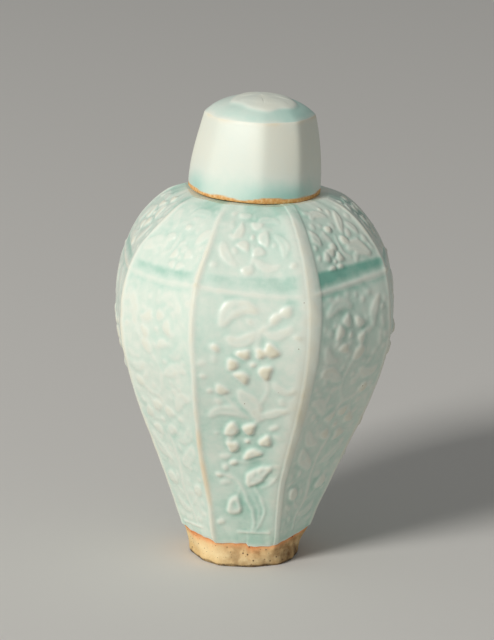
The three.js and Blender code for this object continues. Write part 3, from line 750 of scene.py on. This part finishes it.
def buildLowerBody():
    p = lowerPiece
    start, end = lengthAt(wall["footTop"][1]), lengthAt(wall["jointHeight"])
    rows = int(round((end - start) / p["rowStep"])) + 1
    above = np.linspace(0, end - start, rows)[:, None]
    wiped = lengthAt(glazeLine(bodyGrid["perSide"])) - start
    height = heightAt(start + above + wiped * np.exp(-above / p["edgeFollows"]))
    field, outer, depth, blush = bodyWall(height, height, p["rowStep"], lowerCarving, p["pressing"])
    outer[..., :2] -= field["out"] * (p["edgeThin"] * np.exp(-above / p["edgeRound"]))[..., None]
    depth = depth + p["beadDepth"] * hill(above - p["beadUp"], p["beadWide"])
    depth = depth - p["edgeBare"] * np.exp(-above / p["edgeBareUp"])
    innerHeight = np.linspace(wall["jointHeight"], p["innerEnd"], p["innerRows"])[:, None]
    inner = octagonField(innerHeight, bodyGrid["perSide"], wall["thickness"], 0)
    inside = withLevel(inner["point"], innerHeight)
    places = np.concatenate((outer, inside))
    fields = {
        "glazeDepth": np.concatenate((depth, np.full(inside.shape[:2], innerDepth))),
        "blush": np.concatenate((blush, np.zeros(inside.shape[:2]))),
    }
    return spunMesh("lower_body_glazed", places, (0, rows - 1, rows, len(places) - 1), fields)


shoulderPiece = {
    "rowStep": 0.62,
    "pressing": 0.55,
    "beltLevel": 162.0,  # where the spray's own heights start
    "boreShare": 0.75,  # of the neck's reach
    "innerRows": 12,
    "innerStart": 1.5,  # under the seat
}


def buildShoulder():
    p = shoulderPiece
    low, seat, ceiling = wall["jointHeight"], wall["seatHeight"], wall["seatHeight"] - wall["thickness"]
    start, end = lengthAt(low), lengthAt(seat)
    rows = int(round((end - start) / p["rowStep"])) + 1
    height = heightAt(np.linspace(start, end, rows))[:, None]
    fromBelt = lengthAt(height) - lengthAt(p["beltLevel"])
    field, outer, depth, _ = bodyWall(height, fromBelt, p["rowStep"], shoulderCarving, p["pressing"])
    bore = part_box("neck")[1].x / mm * p["boreShare"]
    throat = lathed(((bore, seat), (bore, ceiling)), field["bearing"][-1])
    innerHeight = np.linspace(seat - p["innerStart"], low, p["innerRows"])[:, None]
    inner = octagonField(innerHeight, bodyGrid["perSide"], wall["thickness"], 0)
    inside = withLevel(inner["point"], np.minimum(innerHeight, ceiling))
    places = np.concatenate((outer, throat, inside))
    hidden = np.full((len(throat) + len(inside), depth.shape[1]), innerDepth)
    sharp = (0, rows - 1, rows, rows + 1, len(places) - 1)
    return spunMesh("shoulder_glazed", places, sharp, {"glazeDepth": np.concatenate((depth, hidden))})


footPiece = {
    "perSide": 60,
    "columnStep": 0.4,
    "rows": 30,
    "rowsLow": 1.2,  # the rows lie closer together near the table
    "ringWidth": 7.0,
    "ringSlope": 1.5,
    "recess": 2.2,
    "underGlaze": 0.45,
    "edgeRound": 0.9,
    "edgeRoundUp": 1.1,
    "cornerBlur": 1.2,
    "paringBlur": 1.3,
    "rough": ((0.12, 4, 6, 21), (0.05, 11, 14, 22)),  # mm, waves round and up, and a seed
    "sideBulge": 0.2,
    "pared": (0.88, 0.08),  # the share of the foot's height where the paring starts and where it is whole
    "hiddenTop": ((-6.0, 12.5), (-8.0, wall["floor"])),  # reach, from the foot's top edge, and level
    # The foot was pared by knife underneath: each corner's bearing, in degrees from the front, and its reach.
    "baseCorner": (-160, -112, -78, -44, -22, 8, 38, 60, 84, 120, 200),
    "baseReach": (31.2, 31.6, 31.0, 32.4, 34.0, 32.6, 32.8, 31.0, 30.4, 31.0, 31.2),
    # How much dirt and painted shade it took, the shade darkest on the right away from the lamp, and how much
    # brown stain, at bearings from the front.
    "grimeAndShadeBearing": (-180, -90, -50, -20, 12, 35, 58, 78, 96, 180),
    "grimeAndShade": (0.6, 0.5, 0.3, 0.45, 0.6, 0.9, 1.2, 1.5, 1.2, 0.6),
    "grimeAndShadeReach": 8.5,
    # painted contact shadow, with some dirt, along the table: where it starts and where it is whole, in mm up
    "contactShadowAndDirt": (1.6, 0.9),
    "stainBearing": (-180, -90, -45, -26, -12, 25, 42, 90, 180),
    "stain": (0.3, 0.1, 0.0, 0.1, 0.62, 0.75, 0.9, 0.8, 0.3),
    "stainUnderGlaze": (0, 3.5),
    "stainBelow": 0.4,
}


def facetReach(bearing, corners, reaches):  # how far a many-sided outline reaches at a bearing
    turn = np.degrees(bearing)
    turn = np.where(turn < corners[0], turn + 360, turn)
    here = np.clip(np.searchsorted(corners, turn, side="right") - 1, 0, len(corners) - 2)
    a, b = np.radians(np.array(corners, float)[here]), np.radians(np.array(corners, float)[here + 1])
    near, far, t = np.array(reaches)[here], np.array(reaches)[here + 1], np.radians(turn)
    return near * far * np.sin(b - a) / (near * np.sin(t - a) + far * np.sin(b - t))


def buildFoot():
    p = footPiece
    share = np.linspace(0, 1, p["rows"])[:, None] ** p["rowsLow"]
    top = glazeLine(p["perSide"])
    field = octagonField(share * top, p["perSide"], 0, p["sideBulge"])
    field["point"] = blurRound(field["point"], p["cornerBlur"] / p["columnStep"])
    bearing, up = field["bearing"], field["height"]
    base = blurRound(facetReach(bearing, p["baseCorner"], p["baseReach"]), p["paringBlur"] / p["columnStep"])
    reach = np.linalg.norm(field["point"], axis=-1)
    pared = mix(reach, base, fadeIn(share, *p["pared"]))
    field["point"] = field["point"] * (pared / reach)[..., None]
    rough = roughly(p["rough"], bearing, up) * fadeIn(up, 0, 2)
    rise = rough - p["underGlaze"] - p["edgeRound"] * np.exp(-up / p["edgeRoundUp"])
    outer = raised(field, rise)
    outer[0, :, 2] = 0
    ring, footTop = wall["footHalfWidth"] - p["ringWidth"], wall["footTop"][0]
    below = lathed(((0.0, p["recess"]), (ring - p["ringSlope"], p["recess"]), (ring, 0.0)), bearing[0])
    above = [(footTop + past, level) for past, level in p["hiddenTop"]]
    above = lathed((*above, (0.0, wall["floor"])), bearing[0])
    places = np.concatenate((below, outer, above))

    def withHidden(values, under):  # adds the rows of the underside and of the hidden top
        blank = np.ones((len(below), values.shape[1]))
        return np.concatenate((under * blank, values, 0 * blank))

    # Painted shade mixed with real dirt: a dark contact shadow along the table, and a right side darkened
    # away from the lamp.
    grimeAndShade = np.interp(np.degrees(bearing), p["grimeAndShadeBearing"], p["grimeAndShade"])
    patchy = smooth((wander(5 * bearing, 9 * up, 23) + 1.2) / 2.4)
    contactShadowAndDirt = fadeIn(up - 0.25 * wander(6 * bearing, 0, 24), *p["contactShadowAndDirt"]) * (0.6 + 0.4 * patchy)
    soiled = np.maximum(1.6 * contactShadowAndDirt, 0.7 * grimeAndShade * patchy * smooth((p["grimeAndShadeReach"] * grimeAndShade - up) / 5.0))
    stain = np.interp(np.degrees(bearing), p["stainBearing"], p["stain"])
    stained = stain * fadeIn(top - up, *p["stainUnderGlaze"]) * (0.75 + 0.25 * patchy)
    footHeight = wall["footTop"][1]
    fields = {
        "glazeEdge": withHidden((up - top + footHeight) / footHeight, 0),
        "soiled": withHidden(soiled, 1),
        "stained": withHidden(stained, p["stainBelow"]),
    }
    last = len(below) + p["rows"] - 1
    return spunMesh("foot_bare", places, (1, 2, last, last + 1), fields, closed=False)


coverPiece = {
    "perSide": 54,
    "columnStep": 0.5,
    "rimLevel": heightOf("cover", 0),
    "apexLevel": heightOf("cover", 1),
    "crownDrop": 9.6,
    "rimReach": 35.6,
    "crownReach": 30.1,
    "bulge": 1.0,
    "wall": 3.6,
    "roof": 5.0,
    "slip": (-1.3, 0.0),  # how far the rim was pressed off centre
    "tilt": 0.022,
    "corners": (-43, 4, 42, 90, 135, 181, 226, 270),  # bearings of the cover's own eight corners, in degrees
    "cornerBlur": 2.6,
    "roundness": (0.75, 0.4, 0.3, 0.6, 1.0),  # 1 is fully round: at the rim, a third up, from the crown up
    "roundReach": 0.985,
    "arrisBlur": 1.3,
    "arrisRise": 0.08,
    "arrisWide": 1.0,
    "uneven": 0.2,
    "medallion": (2.0, -4.0),
    "medallionReach": 16.6,
    "medallionRise": 0.8,
    "medallionEdge": 2.6,
    "medallionBlur": 1.3,
    "bareRim": 2.7,
}
crownBlossom = [
    *blossom((2, -2), (((9, 3), (11, 7.4), 15), ((0.6, 8.6), (11, 7.4), 85), ((-8.2, 3.4), (11, 7.4), -30),
                       ((-5.6, -7.6), (11, 7.4), 50), ((5.4, -8.6), (11, 7.4), -55)), boss=3.6, rise=0.8),
]


def medallionHeight(x, y):  # the raised flower on the cover's crown: a lobed disc with faint petals
    p = coverPiece
    dx, dy = x - p["medallion"][0], y - p["medallion"][1]
    away, turn = np.hypot(dx, dy), np.arctan2(dy, dx)
    lobes = 0.9 * np.cos(turn + 1.4) + 0.9 * np.cos(5 * turn + 1.9) + 0.3 * np.cos(9 * turn)
    toEdge = p["medallionReach"] + lobes - away
    height = p["medallionRise"] * smooth(toEdge / p["medallionEdge"] + 0.5)
    for form, places, facts in crownBlossom:
        height = np.maximum(height, (0.5 + 0.6 * form(x, y, places, **facts)) * fadeIn(toEdge, 0, 4))
    return height


def coverProfile():  # rows of reach and level: up the outside from the rim, then down the inside
    p = coverPiece
    rim, apex, rimReach, crownReach = p["rimLevel"], p["apexLevel"], p["rimReach"], p["crownReach"]
    crown = apex - p["crownDrop"]
    low = (rimReach + p["bulge"] * 0.6, mix(rim, crown, 0.35))
    high = (mix(rimReach, crownReach, 0.62) + p["bulge"], mix(rim, crown, 0.72))
    side = bezier(((rimReach, rim + 1.0), low, high, (crownReach, crown)), 60)
    dome = bezier(((crownReach - 0.7, crown + 0.6), (crownReach * 0.78, crown + 6.4),
                   (crownReach * 0.45, apex - 0.6), (0.0, apex)), 44)
    bottom = [(rimReach - 1.6, rim), (rimReach - 0.7, rim + 0.2)]
    outer = np.vstack((bottom, side, dome))
    outer[3:-2] = blurRows(outer, p["arrisBlur"])[3:-2]
    ceiling, innerCrown, innerRim = apex - p["roof"], crownReach - p["wall"], rimReach - p["wall"] - 1.5
    inside = [(0.0, ceiling), (10, ceiling - 0.3), (innerCrown - 6, crown - 1), (innerCrown - 1.5, crown - 5),
              (innerRim, mix(rim, crown, 0.3)), (innerRim, rim + 0.2)]
    return np.vstack((outer, inside)), len(outer), len(outer) - len(dome), crown


# How deep the glaze lies on the cover. It gathered over the rim, most of all at the left and the front right.
coverGlazeLay = {
    "side": 0.27,
    "overRim": 0.32,
    "overRimUp": 3.0,
    "overRimWide": 9.0,
    "front": 2.2,  # bearings here are in radians
    "gatheredFront": 0.4,
    "gatheredBehind": 0.6,
    "gatheredMost": ((1.0, -1.15, 0.3464), (1.2, 0.5, 0.5916)),  # strength, bearing and breadth
    "dome": 0.46,
    "domePool": 0.22,
    "domePoolBearing": 1.15,
    "medallion": 0.3,
    "crownEdge": 0.14,
    "crownEdgeWide": 1.5,
    "cloudy": 0.03,
}


def coverGlazeDepth(bearing, level, above, toCrown, onOutside, onDome, medallion):
    g = coverGlazeLay
    drift = g["cloudy"] * wander(bearing, level, 33)
    most = sum(share * hill(bearing - at, wide) for share, at, wide in g["gatheredMost"])
    gathered = np.where(np.abs(bearing) < g["front"], g["gatheredFront"] + most, g["gatheredBehind"])
    low = g["overRim"] * hill(above - g["overRimUp"], g["overRimWide"]) * gathered
    pool = g["dome"] + g["domePool"] * smooth(np.cos(bearing - g["domePoolBearing"]) * 0.9 + 0.1)
    top = mix(pool, g["medallion"], fadeIn(medallion, 0, coverPiece["medallionRise"]))
    edge = g["crownEdge"] * hill(toCrown, g["crownEdgeWide"]) * onOutside
    return mix(g["side"] + low + drift, top + drift, onDome) - edge * (1 + 0.5 * wander(3 * bearing, 0, 36))


def buildCover():
    p = coverPiece
    rim, apex = p["rimLevel"], p["apexLevel"]
    profile, outerRows, domeRow, crown = coverProfile()
    reachOf, levelOf = profile[:, :1], profile[:, 1:]
    number = np.arange(len(profile))[:, None]
    onOutside, onDome = number < outerRows, ((number >= domeRow) & (number < outerRows)).astype(float)
    steps = (rim, mix(rim, crown, 0.35), crown, crown + 4, apex)
    roundness = np.where(onOutside, np.interp(levelOf, steps, p["roundness"]), 1)
    corner = np.radians(np.array(p["corners"] + (p["corners"][0] + 360,), float))
    spot = np.stack((reachOf * np.sin(corner), -reachOf * np.cos(corner)), -1)
    which = np.repeat(np.arange(sides), p["perSide"])
    share = np.tile(np.arange(p["perSide"]) / p["perSide"], sides)[None, :, None]
    point = mix(spot[:, which], spot[:, which + 1], share)
    bearing = np.broadcast_to(np.arctan2(point[20, :, 0], -point[20, :, 1]), point.shape[:2])
    radial = np.stack((np.sin(bearing), -np.cos(bearing)), -1)
    reach = mix(np.linalg.norm(point, axis=-1), reachOf * p["roundReach"], roundness)
    reach[:outerRows] = blurRound(reach[:outerRows], p["cornerBlur"] / p["columnStep"])
    x, y = reach * radial[..., 0], reach * radial[..., 1]
    medallion = blurRows(medallionHeight(x, y), p["medallionBlur"]) * onDome
    level = np.broadcast_to(levelOf, x.shape)
    arris = p["arrisRise"] * hill(levelOf - crown, p["arrisWide"]) * onOutside
    uneven = p["uneven"] * wander(bearing, level, 31) * fadeIn(level, apex - 3, apex - 9) * onOutside
    down = 1 - fadeIn(levelOf, rim, crown)
    level = level + medallion + arris - p["tilt"] * x * down
    point = radial * (reach + uneven + arris)[..., None] + np.array(p["slip"]) * down[..., None]
    above = levelOf - rim
    bare = smooth((p["bareRim"] + 0.45 * wander(2 * bearing, 0, 35) - above) / 0.5 + 0.5)
    fields = {
        "glazeDepth": coverGlazeDepth(bearing, level, above, levelOf - crown, onOutside, onDome, medallion),
        "bareClay": np.where(onOutside, bare, 1),
    }
    return spunMesh("cover_glazed", withLevel(point, level), (1, outerRows, len(profile) - 1), fields)


neckPiece = {"columns": 160, "root": 24.5, "waist": 22.8, "lip": 26.0, "lipUnder": 5.5, "bore": 19.5}


def buildNeck():
    p = neckPiece
    low, high = heightOf("neck", 0), heightOf("neck", 1)
    root, waist, lip, bore, under = p["root"], p["waist"], p["lip"], p["bore"], high - p["lipUnder"]
    outer = np.vstack((
        bezier(((root, low), (waist, low + 3), (waist, low + 6), (waist, low + 10)), 14),
        bezier(((waist, high - 10), (waist, under), (lip, under), (lip, high - 2.4)), 14),
        bezier(((lip, high - 1.8), (lip, high - 0.4), (lip - 1.2, high), (lip - 2.6, high)), 8),
        bezier(((bore + 2.4, high), (bore + 0.8, high), (bore, high - 0.8), (bore, high - 2.4)), 8),
    ))
    profile = np.vstack((outer, [(bore, low)]))
    places = lathed(profile, np.arange(p["columns"]) / p["columns"] * 2 * math.pi)
    up = places[..., 2]  # the glaze lies deep at the root and thin on the lip
    depth = 0.45 + 0.2 * np.exp(-(up - low) / 4) - 0.4 * np.exp(-(high - up) / 1.5)
    return spunMesh("neck_glazed", places, (0, len(profile) - 1), {"glazeDepth": depth})


lowerSkin = buildLowerBody()
footRing = buildFoot()
shoulderSkin = buildShoulder()
neckSkin = buildNeck()
coverSkin = buildCover()


def linear(hexColour):  # an sRGB hex value, as a shader reads it
    parts = [int(hexColour[i : i + 2], 16) / 255 for i in (1, 3, 5)]
    return (*[c / 12.92 if c <= 0.04045 else ((c + 0.055) / 1.055) ** 2.4 for c in parts], 1.0)


def addNode(tree, kind, settings=None, links=None):  # a link comes from a socket or a node's first output
    node = tree.nodes.new("ShaderNode" + kind)
    for key, value in (settings or {}).items():
        if key == "stops":
            setStops(node.color_ramp.elements, value)
        elif isinstance(key, str) and hasattr(node, key):
            setattr(node, key, value)
        else:
            node.inputs[key].default_value = value
    for key, source in (links or {}).items():
        tree.links.new(source.outputs[0] if isinstance(source, bpy.types.Node) else source, node.inputs[key])
    return node


def perMetre(width):  # the scale of a pattern whose patches are so many mm wide
    return 1 / (width * mm)


def setStops(elements, stops):  # a ramp's places and colours; it already has its two ends
    for element, (position, colour) in zip(elements, (stops[0], stops[-1])):
        element.position, element.color = position, linear(colour)
    for position, colour in stops[1:-1]:
        elements.new(position).color = linear(colour)


def startMaterial(name):
    material = bpy.data.materials.new(name)
    material.use_nodes = True
    tree = material.node_tree
    tree.nodes.clear()
    shader = addNode(tree, "BsdfPrincipled")
    addNode(tree, "OutputMaterial", {}, {0: shader})
    return material, tree, shader


speck = {"core": 0.4, "leftOut": 0.55}


def specks(tree, place, spacing, size):  # iron that melted out of the body: scattered round dots
    share = size / spacing
    cells = addNode(tree, "TexVoronoi", {"Scale": perMetre(spacing), "Randomness": 1.0}, {"Vector": place})
    dot = addNode(tree, "MapRange", {1: share, 2: share * speck["core"], 3: 0.0, 4: 1.0}, {0: cells})
    pick = addNode(tree, "SeparateColor", {}, {0: cells.outputs["Color"]})
    chosen = addNode(tree, "Math", {"operation": "GREATER_THAN", 1: speck["leftOut"]}, {0: pick})
    return addNode(tree, "Math", {"operation": "MULTIPLY"}, {0: dot, 1: chosen})


# Sizes in mm; the colours run from where the glaze is thinnest to where it is deepest.
glaze = {
    "stopPlaces": (0.0, 0.14, 0.36, 0.56, 0.78, 1.0),
    "bodyColours": ("#e0dcc6", "#e5e5d4", "#e4ebdf", "#cfe3d6", "#a7cebe", "#80b9a8"),
    "bodyUneven": 0.34,
    "coverColours": ("#e9e1c8", "#e9e8d8", "#e2e9de", "#c7e0d5", "#a2cfc4", "#7fbeb3"),
    "coverUneven": 0.12,
    "clouds": ((22.0, 3.0), (5.0, 4.0)),  # width and detail
    "blush": "#eccd9f",
    "blushStrength": 0.6,
    "speckColour": "#7a5a3c",
    "speckSpacing": 9.0,
    "speckSize": 0.35,
    "ior": 1.5,
    "roughness": 0.34,
    "thinRoughness": 0.85,  # where it barely covers an edge it dried rather than ran
    "thinDepth": 0.34,
    "rippleWidth": 3.0,
    "rippleHeight": 0.12,
    "rippleStrength": 0.25,
}
clay = {
    "stops": ((0.0, "#e0c28e"), (0.4, "#f1d9ac"), (0.7, "#f2cf9e"), (0.88, "#eeb07d"), (1.0, "#de8f5a")),
    "uneven": 0.6,
    "cloud": (9.0, 4.0),  # width and detail
    "grain": (0.6, 3.0),
    "grainShare": 0.35,
    "grainHeight": 0.2,
    "grainStrength": 0.5,
    "mottle": (3.5, 3.0),
    "mottleSpread": {1: 0.38, 2: 0.64, 3: 0.45, 4: 1.05},  # from and to
    "grainStops": ((0.3, "#8a6a4a"), (0.7, "#f3dcb8")),
    "specks": ((3.0, 0.6), (1.5, 0.28)),  # spacing and size
    "speckColour": "#2e2014",
    "stain": "#8d6334",
    # dark brown for the foot's dirt and for its painted shade
    "dirtAndShade": "#2a1c10",
    "roughness": 0.85,
    "rimGrain": (1.6, 4.0),
    "rimStops": ((0.3, "#cf8f4e"), (0.5, "#e6ae6a"), (0.7, "#f0c68f")),
    "rimSpecks": (2.6, 0.35),
    "rimSpeckColour": "#3b2413",
    "rimRoughness": 0.8,
}


# Porcelain under a glossy, nearly clear glaze: cream where it runs thin, blue-green where it lies deep. It
# was wiped off round the cover's rim, where the bare clay burnt to a dry orange.
def makeGlaze(name, colours, unevenness, bareRim=False):
    material, tree, shader = startMaterial(name)
    place = addNode(tree, "TexCoord").outputs["Object"]
    depth = addNode(tree, "Attribute", {"attribute_name": "glazeDepth"}).outputs["Fac"]
    for width, detail in glaze["clouds"]:
        cloud = addNode(tree, "TexNoise", {"Scale": perMetre(width), "Detail": detail}, {"Vector": place})
        spread = {"operation": "MULTIPLY_ADD", 1: unevenness, 2: -unevenness / 2}
        shift = addNode(tree, "Math", spread, {0: cloud})
        depth = addNode(tree, "Math", {"operation": "ADD"}, {0: depth, 1: shift})
    stops = list(zip(glaze["stopPlaces"], colours))
    colour = addNode(tree, "ValToRGB", {"stops": stops}, {0: depth})
    burnt = addNode(tree, "Attribute", {"attribute_name": "blush"}).outputs["Fac"]
    burnt = addNode(tree, "Math", {"operation": "MULTIPLY", 1: glaze["blushStrength"]}, {0: burnt})
    dots = specks(tree, place, glaze["speckSpacing"], glaze["speckSize"])
    for mask, over in ((burnt, glaze["blush"]), (dots, glaze["speckColour"])):
        colour = addNode(tree, "Mix", {"data_type": "RGBA", 7: linear(over)}, {0: mask, 6: colour}).outputs[2]
    dryToWet = {1: 0.0, 2: glaze["thinDepth"], 3: glaze["thinRoughness"], 4: glaze["roughness"]}
    roughness = addNode(tree, "MapRange", dryToWet, {0: depth})
    if bareRim:
        bare = addNode(tree, "Attribute", {"attribute_name": "bareClay"}).outputs["Fac"]
        width, detail = clay["rimGrain"]
        grain = addNode(tree, "TexNoise", {"Scale": perMetre(width), "Detail": detail}, {"Vector": place})
        rim = addNode(tree, "ValToRGB", {"stops": clay["rimStops"]}, {0: grain})
        dots, dark = specks(tree, place, *clay["rimSpecks"]), linear(clay["rimSpeckColour"])
        rim = addNode(tree, "Mix", {"data_type": "RGBA", 7: dark}, {0: dots, 6: rim}).outputs[2]
        colour = addNode(tree, "Mix", {"data_type": "RGBA"}, {0: bare, 6: colour, 7: rim}).outputs[2]
        dry = addNode(tree, "Math", {"operation": "MULTIPLY", 1: clay["rimRoughness"]}, {0: bare})
        roughness = addNode(tree, "Math", {"operation": "MAXIMUM"}, {0: roughness, 1: dry})
    tree.links.new(colour, shader.inputs["Base Color"])
    tree.links.new(roughness.outputs[0], shader.inputs["Roughness"])
    rippled = {"Scale": perMetre(glaze["rippleWidth"]), "Detail": 2.0}
    ripple = addNode(tree, "TexNoise", rippled, {"Vector": place})
    height = {"Strength": glaze["rippleStrength"], "Distance": glaze["rippleHeight"] * mm}
    bump = addNode(tree, "Bump", height, {"Height": ripple})
    tree.links.new(bump.outputs[0], shader.inputs["Normal"])
    shader.inputs["IOR"].default_value = glaze["ior"]
    return material


# Unglazed porcelain, scorched orange in the kiln: dry, matt and pitted, stained and soiled by use, with
# painted shade along the table and on the side away from the lamp.
def makeBareClay(name):
    material, tree, shader = startMaterial(name)
    place = addNode(tree, "TexCoord").outputs["Object"]
    edge, stained, soiled = (addNode(tree, "Attribute", {"attribute_name": label}).outputs["Fac"]
                             for label in ("glazeEdge", "stained", "soiled"))
    cloud, grain, mottle = (
        addNode(tree, "TexNoise", {"Scale": perMetre(width), "Detail": detail}, {"Vector": place})
        for width, detail in (clay["cloud"], clay["grain"], clay["mottle"])
    )
    spread = {"operation": "MULTIPLY_ADD", 1: clay["uneven"], 2: -clay["uneven"] / 2}
    shift = addNode(tree, "Math", spread, {0: cloud})
    burnt = addNode(tree, "Math", {"operation": "ADD"}, {0: edge, 1: shift})
    colour = addNode(tree, "ValToRGB", {"stops": clay["stops"]}, {0: burnt})
    gritty = addNode(tree, "ValToRGB", {"stops": clay["grainStops"]}, {0: grain})
    softly = {"data_type": "RGBA", "blend_type": "SOFT_LIGHT", 0: clay["grainShare"]}
    colour = addNode(tree, "Mix", softly, {6: colour, 7: gritty}).outputs[2]
    mottle = addNode(tree, "MapRange", clay["mottleSpread"], {0: mottle})
    stained = addNode(tree, "Math", {"operation": "MULTIPLY"}, {0: stained, 1: mottle})
    # dirt and painted shade together, broken up by the grain
    soiled = addNode(tree, "Math", {"operation": "MULTIPLY"}, {0: soiled, 1: grain})
    layers = [(specks(tree, place, *dots), clay["speckColour"]) for dots in clay["specks"]]
    for mask, over in (*layers, (stained, clay["stain"]), (soiled, clay["dirtAndShade"])):
        colour = addNode(tree, "Mix", {"data_type": "RGBA", 7: linear(over)}, {0: mask, 6: colour}).outputs[2]
    tree.links.new(colour, shader.inputs["Base Color"])
    shader.inputs["Roughness"].default_value = clay["roughness"]
    pits = {"Strength": clay["grainStrength"], "Distance": clay["grainHeight"] * mm}
    bump = addNode(tree, "Bump", pits, {"Height": grain})
    tree.links.new(bump.outputs[0], shader.inputs["Normal"])
    return material


bodyGlaze = makeGlaze("celadon_blue_glaze_on_porcelain", glaze["bodyColours"], glaze["bodyUneven"])
coverGlaze = makeGlaze("thin_glaze_with_bare_rim", glaze["coverColours"], glaze["coverUneven"], bareRim=True)
bareClay = makeBareClay("scorched_bare_porcelain")
for piece, material, body, node, slot in (
    (lowerSkin, bodyGlaze, "vase", "lower_body", "body_glaze"),
    (footRing, bareClay, "vase", "lower_body", "bare_foot"),
    (shoulderSkin, bodyGlaze, "vase", "shoulder", "body_glaze"),
    (neckSkin, bodyGlaze, "vase", "neck", "neck_glaze"),
    (coverSkin, coverGlaze, "cover", "cover", "cover_glaze"),
):
    piece.data.materials.append(material)
    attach(piece, body)
    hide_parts(node)
print("pieces are dressed")

# The floor and the lamp; their sizes and distances are in metres.
studio = {
    "floorSize": 14.0,
    "floorColour": "#d4d2ce",
    "floorRoughness": 0.9,
    "lampBearing": -40.0,
    "lampElevation": 30.0,
    "lampAway": 6.0,
    "lampSize": 1.5,
    "lampPower": 288.0,
    "lampColour": "#fffdf9",
    "roomColour": "#e2e3e2",
    "roomLight": 0.325,
}
# The photograph's view, in mm and degrees: from a little above, with the picture leaning a little.
view = {
    "aimHeight": 125.0,
    "distance": 1800.0,
    "elevation": 14.52,
    "lean": 2.065,
    "lens": 189.44,
    "sensor": 36.0,
    "aside": -2.69,
    "above": 3.46,
}


def buildStudio():
    p = studio
    sheet = bmesh.new()
    bmesh.ops.create_grid(sheet, x_segments=8, y_segments=8, size=p["floorSize"] / 2)
    mesh = bpy.data.meshes.new("floor")
    sheet.to_mesh(mesh)
    sheet.free()
    floor = bpy.data.objects.new("floor", mesh)
    bpy.context.scene.collection.objects.link(floor)
    material, _, shader = startMaterial("matt_paper")  # plain studio paper: no shine
    shader.inputs["Base Color"].default_value = linear(p["floorColour"])
    shader.inputs["Roughness"].default_value = p["floorRoughness"]
    mesh.materials.append(material)
    bearing, elevation = math.radians(p["lampBearing"]), math.radians(p["lampElevation"])
    level = math.cos(elevation)
    toLamp = Vector((math.sin(bearing) * level, -math.cos(bearing) * level, math.sin(elevation)))
    lamp = bpy.data.lights.new("softbox", "AREA")
    lamp.size, lamp.energy = p["lampSize"], p["lampPower"]
    lamp.color = linear(p["lampColour"])[:3]
    holder = bpy.data.objects.new("softbox", lamp)
    holder.location = toLamp * p["lampAway"] + Vector((0, 0, view["aimHeight"] * mm))
    holder.rotation_mode = "QUATERNION"
    holder.rotation_quaternion = (-toLamp).to_track_quat("-Z", "Y")
    bpy.context.scene.collection.objects.link(holder)
    world = bpy.data.worlds.new("room")
    world.use_nodes = True
    back = world.node_tree.nodes["Background"]
    back.inputs[0].default_value = linear(p["roomColour"])
    back.inputs[1].default_value = p["roomLight"]
    bpy.context.scene.world = world


def buildCamera():
    p = view
    lens = bpy.data.cameras.new("camera")
    lens.lens, lens.sensor_width = p["lens"], p["sensor"]
    lens.clip_start, lens.clip_end = 0.05, 50
    camera = bpy.data.objects.new("camera", lens)
    elevation = math.radians(p["elevation"])
    back = Vector((0, -math.cos(elevation), math.sin(elevation)))
    turn = (-back).to_track_quat("-Z", "Y").to_matrix() @ Matrix.Rotation(math.radians(p["lean"]), 3, "Z")
    place = Vector((0, 0, p["aimHeight"])) + back * p["distance"] + turn @ Vector((p["aside"], p["above"], 0))
    camera.matrix_world = Matrix.Translation(place * mm) @ turn.to_4x4()
    bpy.context.scene.collection.objects.link(camera)
    bpy.context.scene.camera = camera


buildStudio()
buildCamera()
bpy.context.scene.view_settings.view_transform = "Standard"
print("studio and camera are set")
